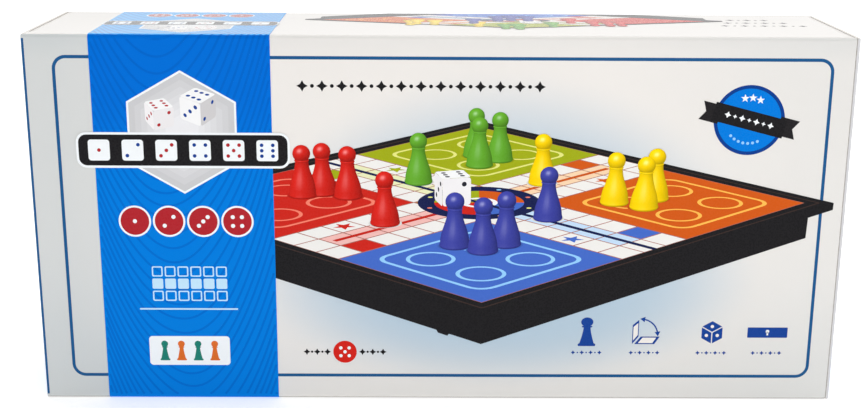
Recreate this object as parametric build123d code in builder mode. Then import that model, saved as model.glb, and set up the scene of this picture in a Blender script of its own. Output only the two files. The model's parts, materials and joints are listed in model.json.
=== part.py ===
"""Folding ludo board packed in its printed carton.

The carton stands on one long narrow side.  X runs along its length, -Y is the front
panel, +Z is up, and the origin is the middle of the carton's base.  Millimetres.

Both tuck flaps are shut.  Inside stands the board, folded into a case with its two
hollow sides together, and in the case are the pawns, their magnets and the die.
"""

import os
from math import asin, degrees

from build123d import *

os.makedirs("parts", exist_ok=True)

# ---------------------------------------------------------------- driving dimensions

# Folding case
case_length = 246.0            # X
half_width = 123.0             # one half of the board, fold edge to latch edge
half_thickness = 22.0          # one half, play face to rim
play_plate_thickness = 2.0
tray_wall = 2.0
wall_inset = 3.5               # play plate overhangs the walls on three sides
rim_gap = 0.1                  # rim to the middle plane where the two halves meet
plate_corner_radius = 4.0
wall_corner_radius = 3.0
cross_rib_height = 5.0
cross_rib_thickness = 1.4

# Play sheets
sheet_thickness = 0.4
sheet_border = 3.5             # plastic left showing on three sides of each sheet
sheet_fold_border = 1.2        # and along the fold
sheet_clearance = 0.15
sheet_corner_radius = 2.0

# Hinges of the case
hinge_end_inset = 48.0         # middle of each hinge to the end of the case
knuckle_width = 8.0
knuckle_gap = 0.3
knuckle_radius = 2.2
knuckle_relief = 0.25          # notch round the other half's knuckle
hinge_pin_radius = 1.0
hinge_pin_clearance = 0.05

# Latch
latch_width = 26.0
latch_play = 0.25
latch_pin_radius = 0.6
latch_pin_clearance = 0.05
latch_ear_width = 3.0
latch_pivot_offset = 9.0       # pivot to the plane where the rims meet
catch_offset = 7.8             # catch to the plane where the rims meet
catch_depth = 1.2
catch_width = 16.0
latch_lip_depth = 1.4

# Carton
board_thickness = 1.2          # laminated micro-flute board
crease_inner_radius = 0.4      # the sleeve's four long folds
case_top_clearance = 0.9
case_side_room = 6.8           # each side of the case
case_end_room = 12.4           # case to the dust flaps, each end
fold_clearance = 0.12          # panel edge to the rolled edge of the flap beside it
flap_spacing = 0.2             # tuck flap's inner face to the dust flaps' outer faces
flap_inset = 0.4               # flaps' edges stop this far inside the panels beside them
dust_fold_inset = 0.3          # the dust flaps' folds are drawn in from the panels
glue_flap_width = 16.0
glue_flap_end_inset = 24.0
seam_gap = 0.35                # open joint along the glued edge

# Tuck flaps
tongue_length = 14.0
tongue_corner_radius = 9.0
tongue_bend_inner_radius = 0.3
tongue_clearance = 0.25        # tongue to the panel that it is tucked behind
tongue_extra_lean = 0.4        # degrees past the lean that just clears that panel

# Dust flaps
dust_flap_length = 32.0
dust_flap_taper = 1.8          # run down the flap for each millimetre along its fold
dust_flap_corner_radius = 5.0
dust_flap_tongue_gap = 1.2     # free side of a dust flap to the tongue

# Pawns
pawn_height = 28.0
pawn_base_radius = 6.5
pawn_base_height = 2.8
pawn_foot_round = 0.8
pawn_waist_radius = 2.2
pawn_waist_height = 18.2
pawn_side_hollow = 0.9         # how far the body's side curves in
pawn_collar_radius = 3.8
pawn_collar_height = 1.6
pawn_neck_radius = 2.6
pawn_head_radius = 4.4
pawn_gap = 4.0                 # between the feet of one group
pawn_rows_height = 32.0        # middle of the pawns' rows above the fold edge
magnet_radius = 3.0
magnet_thickness = 2.0
magnet_clearance = 0.05

# Die
die_size = 14.0
die_edge_radius = 2.0
pip_radius = 1.25
pip_depth = 0.45
pip_spacing = 3.7
die_wall_gap = 4.5             # die to the case's end wall
die_offset = 10.0              # Y of the die in the case

# Rules leaflet
leaflet_length = 148.0
leaflet_height = 104.0
leaflet_paper = 0.25
leaflet_fold_gap = 0.15
leaflet_clearance = 0.05
leaflet_station = 20.0         # X of the leaflet's middle

# ---------------------------------------------------------------- worked-out places

crease_radius = crease_inner_radius + board_thickness
carton_length = case_length + 2 * (case_end_room + 2 * board_thickness + flap_spacing)
carton_depth = 2 * (half_thickness + case_side_room + board_thickness)
carton_height = 2 * board_thickness + knuckle_radius + half_width + case_top_clearance

half_board = board_thickness / 2
end_x = carton_length / 2
side_y = carton_depth / 2

# Fold lines of the right end; the left end is the same, turned half a turn about Z
tuck_fold_x = end_x - half_board
tuck_fold_y = -side_y + half_board
front_panel_end = end_x - board_thickness - fold_clearance
back_panel_end = end_x - fold_clearance
dust_fold_x = end_x - board_thickness - flap_spacing - half_board
top_panel_end = dust_fold_x - half_board - fold_clearance
upper_fold_z = carton_height - half_board - dust_fold_inset

# The tongue leans in, so that its tip clears the panel behind which it is tucked
tongue_face_y = side_y - board_thickness - tongue_clearance
tuck_reach = tongue_face_y - tuck_fold_y
tongue_lean = degrees(asin(tongue_length / (2 * tuck_reach))) + tongue_extra_lean
tongue_bend_radius = tongue_bend_inner_radius + half_board
tongue_bend_start_y = tongue_face_y - tongue_bend_radius - half_board
tongue_tip_y = tongue_face_y - board_thickness - tongue_length**2 / (2 * tuck_reach)

# Dust flaps run along their folds from the tuck flap's hinged side to its tongue
dust_start_y = board_thickness + flap_inset - side_y
dust_end_y = tongue_tip_y - dust_flap_tongue_gap
dust_shoulder_y = dust_start_y + dust_flap_length / dust_flap_taper

# The case stands on its hinge knuckles on the carton's bottom panel
fold_edge_z = board_thickness + knuckle_radius
latch_edge_z = fold_edge_z + half_width
case_middle_z = fold_edge_z + half_width / 2
plate_inner_y = half_thickness - play_plate_thickness
wall_top_z = latch_edge_z - wall_inset
wall_end_x = case_length / 2 - wall_inset
storage_length = 2 * (wall_end_x - tray_wall)
hinge_spacing = case_length - 2 * hinge_end_inset

along_x = (0, 90, 0)
low_corner = (Align.MIN, Align.MIN, Align.MIN)

# ---------------------------------------------------------------- carton sleeve

with BuildPart() as carton_sleeve:
    with BuildSketch(Plane.YZ):
        with Locations((0, carton_height / 2)):
            RectangleRounded(carton_depth, carton_height, crease_radius)
            RectangleRounded(
                carton_depth - 2 * board_thickness,
                carton_height - 2 * board_thickness,
                crease_inner_radius,
                mode=Mode.SUBTRACT,
            )
    extrude(amount=back_panel_end, both=True)

    # At each end only the panel that the tongue goes behind runs right out; the others
    # stop at the tuck flap, and further in where a dust flap folds
    with PolarLocations(0, 2):
        with Locations((front_panel_end, -2 * side_y, -half_board)):
            Box(
                carton_depth,
                3 * side_y - board_thickness,
                carton_height + board_thickness,
                align=low_corner,
                mode=Mode.SUBTRACT,
            )
        with Locations((top_panel_end, board_thickness - side_y, -half_board)):
            Box(
                carton_depth,
                dust_end_y + fold_clearance - (board_thickness - side_y),
                carton_height + board_thickness,
                align=low_corner,
                mode=Mode.SUBTRACT,
            )

    # Glue flap: folded up from the bottom panel and stuck inside the back panel
    with BuildSketch(Plane.XZ.offset(board_thickness - side_y)):
        with BuildLine():
            glue_end_x = end_x - glue_flap_end_inset
            glue_top_z = board_thickness + glue_flap_width
            Polyline(
                (-glue_end_x, board_thickness),
                (glue_end_x, board_thickness),
                (glue_end_x - glue_flap_width / 2, glue_top_z),
                (glue_flap_width / 2 - glue_end_x, glue_top_z),
                close=True,
            )
        make_face()
    extrude(amount=board_thickness)

    # The open joint between the back panel's lower edge and the fold below it
    with Locations((-end_x, side_y - board_thickness, crease_radius)):
        Box(carton_length, 2 * board_thickness, seam_gap, align=low_corner, mode=Mode.SUBTRACT)

carton_sleeve.part.label = "carton_sleeve"
export_step(carton_sleeve.part, "parts/carton_sleeve.step")

# ---------------------------------------------------------------- tuck flaps

tongue_inset = board_thickness + flap_inset

with BuildPart() as right_tuck_flap:
    # Panel, with the rolled edge that turns in the fold
    with BuildSketch(Plane.XY.offset(flap_inset)):
        with Locations((tuck_fold_x, tuck_fold_y)):
            Circle(half_board)
            Rectangle(
                board_thickness,
                tongue_bend_start_y - tuck_fold_y,
                align=(Align.CENTER, Align.MIN),
            )
    extrude(amount=carton_height - 2 * flap_inset)

    # Bend and tongue, low enough to pass between the top and bottom panels
    with BuildSketch(Plane.XY.offset(tongue_inset)):
        with BuildLine() as tongue_line:
            bend_line = JernArc(
                start=(tuck_fold_x, tongue_bend_start_y),
                tangent=(0, 1),
                radius=tongue_bend_radius,
                arc_size=90 + tongue_lean,
            )
            PolarLine(bend_line @ 1, tongue_length - crease_radius, 180 + tongue_lean)
        trace(line_width=board_thickness)
    extrude(amount=carton_height - 2 * tongue_inset)
    tongue_corners = (
        right_tuck_flap.edges()
        .filter_by(lambda edge: abs(edge.length - board_thickness) < 0.01)
        .sort_by(Axis.X)[:2]
    )
    fillet(tongue_corners, tongue_corner_radius)

right_tuck_flap.part.label = "right_tuck_flap"
export_step(right_tuck_flap.part, "parts/right_tuck_flap.step")

with BuildPart() as left_tuck_flap:
    add(right_tuck_flap.part, rotation=(0, 0, 180))

left_tuck_flap.part.label = "left_tuck_flap"
export_step(left_tuck_flap.part, "parts/left_tuck_flap.step")

# ---------------------------------------------------------------- dust flaps

with BuildPart() as right_upper_dust_flap:
    with BuildSketch(Plane.YZ.offset(dust_fold_x - half_board)):
        with BuildLine():
            Polyline(
                (dust_start_y, upper_fold_z),
                (dust_shoulder_y, upper_fold_z - dust_flap_length),
                (dust_end_y, upper_fold_z - dust_flap_length),
                (dust_end_y, upper_fold_z),
                close=True,
            )
        make_face()
        fillet(vertices().group_by(Axis.Y)[0], dust_flap_corner_radius)
    extrude(amount=board_thickness)

    # Rolled edge that turns in the fold
    with BuildSketch(Plane.XZ.offset(-dust_start_y)):
        with Locations((dust_fold_x, upper_fold_z)):
            Circle(half_board)
    extrude(amount=dust_start_y - dust_end_y)

right_upper_dust_flap.part.label = "right_upper_dust_flap"
export_step(right_upper_dust_flap.part, "parts/right_upper_dust_flap.step")

with BuildPart() as right_lower_dust_flap:
    mirror(right_upper_dust_flap.part, about=Plane.XY.offset(carton_height / 2))

right_lower_dust_flap.part.label = "right_lower_dust_flap"
export_step(right_lower_dust_flap.part, "parts/right_lower_dust_flap.step")

with BuildPart() as left_upper_dust_flap:
    add(right_upper_dust_flap.part, rotation=(0, 0, 180))

left_upper_dust_flap.part.label = "left_upper_dust_flap"
export_step(left_upper_dust_flap.part, "parts/left_upper_dust_flap.step")

with BuildPart() as left_lower_dust_flap:
    add(right_lower_dust_flap.part, rotation=(0, 0, 180))

left_lower_dust_flap.part.label = "left_lower_dust_flap"
export_step(left_lower_dust_flap.part, "parts/left_lower_dust_flap.step")

# ---------------------------------------------------------------- case: half trays

group_spacing = storage_length / 4
rib_stations = [(-group_spacing, 0), (0, 0), (group_spacing, 0)]

# The half whose play face looks at the carton's front panel
with BuildPart() as tray_shell:
    with BuildSketch(Plane.XZ.offset(plate_inner_y)):
        with Locations((0, case_middle_z)):
            Rectangle(case_length, half_width)
        fillet(vertices().group_by(Axis.Z)[-1], plate_corner_radius)
    extrude(amount=play_plate_thickness)

    # Walls: flush with the plate along the fold, set in on the other three sides
    with BuildSketch(Plane.XZ.offset(rim_gap)):
        with Locations((0, fold_edge_z)):
            Rectangle(2 * wall_end_x, half_width - wall_inset, align=(Align.CENTER, Align.MIN))
        fillet(vertices().group_by(Axis.Z)[-1], wall_corner_radius)
        with Locations((0, fold_edge_z + tray_wall)):
            Rectangle(
                storage_length,
                half_width - wall_inset - 2 * tray_wall,
                align=(Align.CENTER, Align.MIN),
                mode=Mode.SUBTRACT,
            )
    extrude(amount=plate_inner_y - rim_gap)

    # Low ribs across the floor, between the groups of pawns
    with BuildSketch(Plane.XZ.offset(plate_inner_y - cross_rib_height)):
        with Locations((0, fold_edge_z + tray_wall)):
            with Locations(*rib_stations):
                Rectangle(
                    cross_rib_thickness,
                    half_width - wall_inset - 2 * tray_wall,
                    align=(Align.CENTER, Align.MIN),
                )
    extrude(amount=cross_rib_height)

    # Recess for the play sheet
    with BuildSketch(Plane.XZ.offset(half_thickness)):
        with Locations((0, fold_edge_z + sheet_fold_border)):
            Rectangle(
                case_length - 2 * sheet_border,
                half_width - sheet_border - sheet_fold_border,
                align=(Align.CENTER, Align.MIN),
            )
        fillet(vertices(), sheet_corner_radius)
    extrude(amount=-sheet_thickness, mode=Mode.SUBTRACT)

# Knuckles: two of each hinge's three belong to the front half, the middle one to the back
knuckle_pitch = knuckle_width + knuckle_gap

latch_barrel_radius = wall_inset / 2 - latch_play
latch_pivot_z = wall_top_z + latch_barrel_radius + latch_play
ear_radius = latch_barrel_radius + latch_play / 2

with BuildPart() as front_half_tray:
    add(tray_shell.part)
    with Locations((0, 0, fold_edge_z)):
        with GridLocations(hinge_spacing, 0, 2, 1):
            Cylinder(
                knuckle_radius + knuckle_relief,
                knuckle_width + 2 * knuckle_gap,
                rotation=along_x,
                mode=Mode.SUBTRACT,
            )
            with GridLocations(2 * knuckle_pitch, 0, 2, 1):
                Cylinder(knuckle_radius, knuckle_width, rotation=along_x)
            Cylinder(
                hinge_pin_radius + hinge_pin_clearance,
                2 * knuckle_pitch + knuckle_width,
                rotation=along_x,
                mode=Mode.SUBTRACT,
            )

    # Two ears that hold the latch pin
    with Locations((0, -latch_pivot_offset, latch_pivot_z)):
        with GridLocations(latch_width - latch_ear_width, 0, 2, 1):
            Cylinder(ear_radius, latch_ear_width, rotation=along_x)
            Box(
                latch_ear_width,
                2 * ear_radius,
                latch_pivot_z - wall_top_z,
                align=(Align.CENTER, Align.CENTER, Align.MAX),
            )
        Cylinder(
            latch_pin_radius + latch_pin_clearance,
            latch_width,
            rotation=along_x,
            mode=Mode.SUBTRACT,
        )

front_half_tray.part.label = "front_half_tray"
export_step(front_half_tray.part, "parts/front_half_tray.step")

with BuildPart() as back_half_tray:
    mirror(tray_shell.part, about=Plane.XZ)
    with Locations((0, 0, fold_edge_z)):
        with GridLocations(hinge_spacing, 0, 2, 1):
            with GridLocations(2 * knuckle_pitch, 0, 2, 1):
                Cylinder(
                    knuckle_radius + knuckle_relief,
                    knuckle_width + 2 * knuckle_gap,
                    rotation=along_x,
                    mode=Mode.SUBTRACT,
                )
            Cylinder(knuckle_radius, knuckle_width, rotation=along_x)
            Cylinder(
                hinge_pin_radius + hinge_pin_clearance,
                knuckle_width,
                rotation=along_x,
                mode=Mode.SUBTRACT,
            )

    # Catch that the latch hooks over
    with Locations((0, catch_offset, wall_top_z)):
        Box(
            catch_width,
            catch_depth,
            latch_barrel_radius,
            align=(Align.CENTER, Align.MIN, Align.MIN),
        )

back_half_tray.part.label = "back_half_tray"
export_step(back_half_tray.part, "parts/back_half_tray.step")

# ---------------------------------------------------------------- case: play sheets

sheet_margin = sheet_border + sheet_clearance

with BuildPart() as front_play_sheet:
    with BuildSketch(Plane.XZ.offset(half_thickness - sheet_thickness)):
        with Locations((0, fold_edge_z + sheet_fold_border + sheet_clearance)):
            Rectangle(
                case_length - 2 * sheet_margin,
                half_width - sheet_margin - sheet_fold_border - sheet_clearance,
                align=(Align.CENTER, Align.MIN),
            )
        fillet(vertices(), sheet_corner_radius)
    extrude(amount=sheet_thickness)

front_play_sheet.part.label = "front_play_sheet"
export_step(front_play_sheet.part, "parts/front_play_sheet.step")

with BuildPart() as back_play_sheet:
    mirror(front_play_sheet.part, about=Plane.XZ)

back_play_sheet.part.label = "back_play_sheet"
export_step(back_play_sheet.part, "parts/back_play_sheet.step")

# ---------------------------------------------------------------- case: hinge pins and latch

hinge_pin_length = 2 * knuckle_pitch + knuckle_width

with BuildPart() as right_hinge_pin:
    with Locations((hinge_spacing / 2, 0, fold_edge_z)):
        Cylinder(hinge_pin_radius, hinge_pin_length, rotation=along_x)

right_hinge_pin.part.label = "right_hinge_pin"
export_step(right_hinge_pin.part, "parts/right_hinge_pin.step")

with BuildPart() as left_hinge_pin:
    mirror(right_hinge_pin.part, about=Plane.YZ)

left_hinge_pin.part.label = "left_hinge_pin"
export_step(left_hinge_pin.part, "parts/left_hinge_pin.step")

latch_barrel_length = latch_width - 2 * (latch_ear_width + latch_play)
latch_arm_start_y = ear_radius + latch_play - latch_pivot_offset
latch_lip_y = catch_offset + catch_depth + latch_play

with BuildPart() as latch_clip:
    with Locations((0, -latch_pivot_offset, latch_pivot_z)):
        Cylinder(latch_barrel_radius, latch_barrel_length, rotation=along_x)
        Box(
            latch_barrel_length,
            latch_arm_start_y + latch_pivot_offset,
            latch_barrel_radius,
            align=(Align.CENTER, Align.MIN, Align.MIN),
        )
    with Locations((0, latch_arm_start_y, latch_pivot_z)):
        Box(
            latch_width,
            latch_lip_y + latch_lip_depth - latch_arm_start_y,
            latch_barrel_radius,
            align=(Align.CENTER, Align.MIN, Align.MIN),
        )
    with Locations((0, latch_lip_y, wall_top_z + latch_play)):
        Box(
            latch_width,
            latch_lip_depth,
            2 * latch_barrel_radius,
            align=(Align.CENTER, Align.MIN, Align.MIN),
        )
    with Locations((0, -latch_pivot_offset, latch_pivot_z)):
        Cylinder(
            latch_pin_radius + latch_pin_clearance,
            latch_width,
            rotation=along_x,
            mode=Mode.SUBTRACT,
        )

latch_clip.part.label = "latch_clip"
export_step(latch_clip.part, "parts/latch_clip.step")

with BuildPart() as latch_pin:
    with Locations((0, -latch_pivot_offset, latch_pivot_z)):
        Cylinder(latch_pin_radius, latch_width, rotation=along_x)

latch_pin.part.label = "latch_pin"
export_step(latch_pin.part, "parts/latch_pin.step")

# ---------------------------------------------------------------- pawns and their magnets

pawn_pitch = 2 * pawn_base_radius + pawn_gap
collar_top = pawn_waist_height + pawn_collar_height
head_centre = pawn_height - pawn_head_radius
body_foot_radius = pawn_base_radius - pawn_foot_round
body_middle = (
    (body_foot_radius + pawn_waist_radius) / 2 - pawn_side_hollow,
    (pawn_base_height + pawn_waist_height) / 2,
)

with BuildPart() as pawn:
    with BuildSketch(Plane.XZ):
        with BuildLine():
            Polyline(
                (0, 0),
                (pawn_base_radius, 0),
                (pawn_base_radius, pawn_base_height - pawn_foot_round),
                (body_foot_radius, pawn_base_height),
            )
            ThreePointArc(
                (body_foot_radius, pawn_base_height),
                body_middle,
                (pawn_waist_radius, pawn_waist_height),
            )
            Line((pawn_waist_radius, pawn_waist_height), (pawn_neck_radius, pawn_waist_height))
            ThreePointArc(
                (pawn_neck_radius, pawn_waist_height),
                (pawn_collar_radius, pawn_waist_height + pawn_collar_height / 2),
                (pawn_neck_radius, collar_top),
            )
            Line((pawn_neck_radius, collar_top), (0, collar_top))
            Line((0, collar_top), (0, 0))
        make_face()
    revolve(axis=Axis.Z)
    with Locations((0, 0, head_centre)):
        Sphere(pawn_head_radius)
    with Locations((0, 0, 0)):
        Cylinder(
            magnet_radius + magnet_clearance,
            magnet_thickness,
            align=(Align.CENTER, Align.CENTER, Align.MIN),
            mode=Mode.SUBTRACT,
        )

# The pawns stand by their magnets on the floor of the front half, heads to the back half
rows_z = fold_edge_z + pawn_rows_height
floor_plane = Plane((0, -plate_inner_y, rows_z), x_dir=(1, 0, 0), z_dir=(0, 1, 0))

with BuildPart(floor_plane) as red_pawns:
    with Locations((-1.5 * group_spacing, 0)):
        with GridLocations(pawn_pitch, pawn_pitch, 2, 2):
            add(pawn.part)

red_pawns.part.label = "red_pawns"
export_step(red_pawns.part, "parts/red_pawns.step")

with BuildPart(floor_plane) as green_pawns:
    with Locations((-0.5 * group_spacing, 0)):
        with GridLocations(pawn_pitch, pawn_pitch, 2, 2):
            add(pawn.part)

green_pawns.part.label = "green_pawns"
export_step(green_pawns.part, "parts/green_pawns.step")

with BuildPart(floor_plane) as yellow_pawns:
    with Locations((0.5 * group_spacing, 0)):
        with GridLocations(pawn_pitch, pawn_pitch, 2, 2):
            add(pawn.part)

yellow_pawns.part.label = "yellow_pawns"
export_step(yellow_pawns.part, "parts/yellow_pawns.step")

with BuildPart(floor_plane) as blue_pawns:
    with Locations((1.5 * group_spacing, 0)):
        with GridLocations(pawn_pitch, pawn_pitch, 2, 2):
            add(pawn.part)

blue_pawns.part.label = "blue_pawns"
export_step(blue_pawns.part, "parts/blue_pawns.step")

with BuildPart(floor_plane) as pawn_magnets:
    with GridLocations(group_spacing, 0, 4, 1):
        with GridLocations(pawn_pitch, pawn_pitch, 2, 2):
            Cylinder(
                magnet_radius,
                magnet_thickness,
                align=(Align.CENTER, Align.CENTER, Align.MIN),
            )

pawn_magnets.part.label = "pawn_magnets"
export_step(pawn_magnets.part, "parts/pawn_magnets.step")

# ---------------------------------------------------------------- die

pip_patterns = {
    1: [(0, 0)],
    2: [(-1, -1), (1, 1)],
    3: [(-1, -1), (0, 0), (1, 1)],
    4: [(-1, -1), (-1, 1), (1, -1), (1, 1)],
    5: [(-1, -1), (-1, 1), (0, 0), (1, -1), (1, 1)],
    6: [(-1, -1), (-1, 0), (-1, 1), (1, -1), (1, 0), (1, 1)],
}
die_middle = (
    storage_length / 2 - die_wall_gap - die_size / 2,
    die_offset,
    fold_edge_z + tray_wall + die_size / 2,
)
# Opposite faces add up to seven
die_faces = {1: (0, 0, 1), 6: (0, 0, -1), 2: (0, -1, 0), 5: (0, 1, 0), 3: (1, 0, 0), 4: (-1, 0, 0)}

with BuildPart() as die:
    with Locations(die_middle):
        Box(die_size, die_size, die_size)
    fillet(die.edges(), die_edge_radius)
    for value, direction in die_faces.items():
        face_plane = Plane(Vector(*die_middle) + Vector(*direction) * die_size / 2, z_dir=direction)
        with BuildSketch(face_plane):
            with Locations(*[(u * pip_spacing, v * pip_spacing) for u, v in pip_patterns[value]]):
                Circle(pip_radius)
        extrude(amount=-pip_depth, mode=Mode.SUBTRACT)

die.part.label = "die"
export_step(die.part, "parts/die.step")

# ---------------------------------------------------------------- rules leaflet

leaflet_fold_radius = (leaflet_paper + leaflet_fold_gap) / 2
leaflet_near_y = half_thickness + leaflet_clearance + leaflet_paper / 2
leaflet_fold_z = board_thickness + leaflet_fold_radius + leaflet_paper / 2

# One sheet folded in two, standing on its fold behind the case
with BuildPart() as rules_leaflet:
    with BuildSketch(Plane.YZ.offset(leaflet_station - leaflet_length / 2)):
        with BuildLine():
            near_leaf = Line(
                (leaflet_near_y, board_thickness + leaflet_height),
                (leaflet_near_y, leaflet_fold_z),
            )
            fold = JernArc(near_leaf @ 1, tangent=(0, -1), radius=leaflet_fold_radius, arc_size=180)
            Line(fold @ 1, fold @ 1 + Vector(0, board_thickness + leaflet_height - leaflet_fold_z))
        trace(line_width=leaflet_paper)
    extrude(amount=leaflet_length)

rules_leaflet.part.label = "rules_leaflet"
export_step(rules_leaflet.part, "parts/rules_leaflet.step")
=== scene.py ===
"""Looks of a folding ludo board packed in its printed carton.

The carton stands on one long narrow side, front panel towards -Y, and its two ends open
as tuck flaps.  What is printed on it is laid on as thin inks: a blue band that goes round
the panels, a frame line, small emblems and a picture of the open board with its pieces,
drawn in perspective and pressed flat.  Lengths in the drawing classes are millimetres, and
the finished meshes are metres.
"""

from __future__ import annotations

import json
import logging
import math
from dataclasses import dataclass, field
from enum import Enum
from typing import Any, Callable, Iterable

import bmesh
import bpy
from mathutils import Matrix, Vector
from mathutils.geometry import tessellate_polygon

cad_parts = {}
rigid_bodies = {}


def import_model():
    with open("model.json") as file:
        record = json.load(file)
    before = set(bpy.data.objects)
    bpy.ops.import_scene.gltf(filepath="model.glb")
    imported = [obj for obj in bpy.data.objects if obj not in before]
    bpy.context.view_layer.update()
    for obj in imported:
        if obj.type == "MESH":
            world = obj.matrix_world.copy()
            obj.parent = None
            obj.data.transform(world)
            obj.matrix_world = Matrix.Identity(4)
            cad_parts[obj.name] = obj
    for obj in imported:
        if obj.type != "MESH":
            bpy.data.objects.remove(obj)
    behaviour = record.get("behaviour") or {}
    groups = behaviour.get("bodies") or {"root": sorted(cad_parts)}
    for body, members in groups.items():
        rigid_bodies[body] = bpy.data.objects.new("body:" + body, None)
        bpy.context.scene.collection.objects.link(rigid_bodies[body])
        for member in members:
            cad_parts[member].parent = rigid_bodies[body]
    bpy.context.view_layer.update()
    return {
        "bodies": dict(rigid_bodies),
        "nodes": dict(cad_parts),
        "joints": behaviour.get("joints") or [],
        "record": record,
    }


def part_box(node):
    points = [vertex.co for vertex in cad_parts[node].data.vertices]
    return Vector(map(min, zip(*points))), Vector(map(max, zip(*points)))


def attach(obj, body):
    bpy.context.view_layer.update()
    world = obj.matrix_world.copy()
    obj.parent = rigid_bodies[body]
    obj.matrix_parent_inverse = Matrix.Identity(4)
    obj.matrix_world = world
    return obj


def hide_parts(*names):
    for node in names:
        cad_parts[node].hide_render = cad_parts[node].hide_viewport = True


MM = 0.001
PRINT_SHINE = 0.03  # specular level of varnished print
TOP_COAT = 0.9  # coat weight of the top panel, which the low light glances off
TOP_FACING = 0.9  # a surface whose direction has more than this upwards counts as the top
COAT_ROUGHNESS = 0.24
BOARD_WAVE = (5.5, 2)  # lumps in millimetres, and detail, of the waves in the board's face
PLATE_DEPTH = 0.02  # how far the lower face of a printed plate lies under its upper one
ON_BOARD = 0.03  # level of the first ink on the bare board
ON_BAND = 0.17  # level of the first ink on the blue band
LAYER = 0.01  # from one ink to the next that lies on it
TINTS = "tint"  # the colour attribute of the drawn meshes
BOARD_SQUARES = 15  # squares along each side of the playing surface
YARD_MIDDLE = 4.5  # squares from the board's middle to a yard's middle, along and across
SPOT_OFFSET = 1.05  # squares from a yard's middle to its four spots, along and across
CARTON_BODY = "carton"
LOG = logging.getLogger("ludo_box")

Spot = tuple[float, float]
Loop = list[Spot]
Box = tuple[float, float, float, float]  # left, low, right and high
Tint = tuple[float, float, float]


# ------------------------------------------------------------------------------ colours


def linear(channel: int) -> float:
    """Returns an 8-bit display value as linear light."""
    c = channel / 255
    return c / 12.92 if c <= 0.04045 else ((c + 0.055) / 1.055) ** 2.4


class Hue(Enum):
    """Printed and moulded colours, as 8-bit display values."""

    PAPER = (239, 235, 230)
    COOL_PAPER = (233, 229, 225)
    # painted shade of the front's white
    PAPER_PAINTED_SHADE = (206, 210, 210)
    # painted contact shade of the lower crease
    CREASE_CONTACT_SHADE = (168, 166, 162)
    GREY_BACK = (176, 168, 156)
    CUT_BOARD = (238, 234, 228)
    FLUTE_GREY = (222, 219, 212)
    GLOW = (178, 200, 216)
    BAND = (0, 123, 221)
    BAND_LOW = (0, 126, 220)
    # painted shade of the band near the upper crease
    BAND_CREASE_SHADE = (0, 110, 214)
    # painted sheen of the band on the top
    BAND_PAINTED_SHEEN = (0, 174, 246)
    BAND_LINE = (0, 92, 192)
    FRAME = (32, 88, 139)
    RIM_BLUE = (14, 62, 142)
    ICON = (26, 68, 150)
    INK_WHITE = (244, 248, 250)
    PALE_CYAN = (196, 230, 250)
    PALE_GREY = (214, 214, 216)
    BLACK = (32, 31, 33)
    DEEP_BLACK = (38, 36, 38)
    RED = (212, 36, 27)
    DARK_RED = (178, 40, 48)
    GREEN = (100, 168, 46)
    YELLOW = (252, 212, 4)
    BLUE = (62, 68, 160)
    YARD_RED = (206, 40, 30)
    YARD_GREEN = (162, 173, 26)
    YARD_ORANGE = (211, 91, 26)
    YARD_BLUE = (70, 108, 200)
    LINE_RED = (244, 130, 108)
    LINE_GREEN = (230, 232, 130)
    LINE_ORANGE = (255, 190, 84)
    LINE_BLUE = (150, 206, 252)
    NAVY = (26, 34, 78)
    RIM_BROWN = (62, 48, 44)
    TEAL = (36, 128, 112)
    ORANGE = (222, 110, 44)
    CELL = (240, 238, 234)
    CELL_LINE = (172, 108, 96)

    @property
    def tint(self) -> Tint:
        """The colour as linear red, green and blue."""
        return tuple(linear(c) for c in self.value)

    @property
    def rgba(self) -> tuple[float, float, float, float]:
        """The colour as a socket takes it."""
        return (*self.tint, 1.0)


# ---------------------------------------------------------------------------- node books


class Value:
    """A number worked out by nodes; Python's operators on it add Math nodes."""

    def __init__(self, book: "NodeBook", socket: bpy.types.NodeSocket) -> None:
        """Keeps the socket and the book that it belongs to."""
        self.book, self.socket = book, socket

    def math(self, operation: str, *others: Any) -> "Value":
        """Returns a Math node's result on this value and the others."""
        return self.book.math(operation, self, *others)

    def __add__(self, other: Any) -> "Value":
        """Returns the sum."""
        return self.book.math("ADD", self, other)

    def __sub__(self, other: Any) -> "Value":
        """Returns the difference."""
        return self.book.math("SUBTRACT", self, other)

    def __rsub__(self, other: Any) -> "Value":
        """Returns the difference with this value taken away."""
        return self.book.math("SUBTRACT", other, self)

    def __mul__(self, other: Any) -> "Value":
        """Returns the product."""
        return self.book.math("MULTIPLY", self, other)

    def __truediv__(self, other: Any) -> "Value":
        """Returns the quotient."""
        return self.book.math("DIVIDE", self, other)

    def __gt__(self, other: Any) -> "Value":
        """Returns 1 where this value is the larger, else 0."""
        return self.book.math("GREATER_THAN", self, other)

    def __lt__(self, other: Any) -> "Value":
        """Returns 1 where this value is the smaller, else 0."""
        return self.book.math("LESS_THAN", self, other)

    def __abs__(self) -> "Value":
        """Returns the size without its sign."""
        return self.book.math("ABSOLUTE", self)

    __radd__ = __add__
    __rmul__ = __mul__


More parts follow.
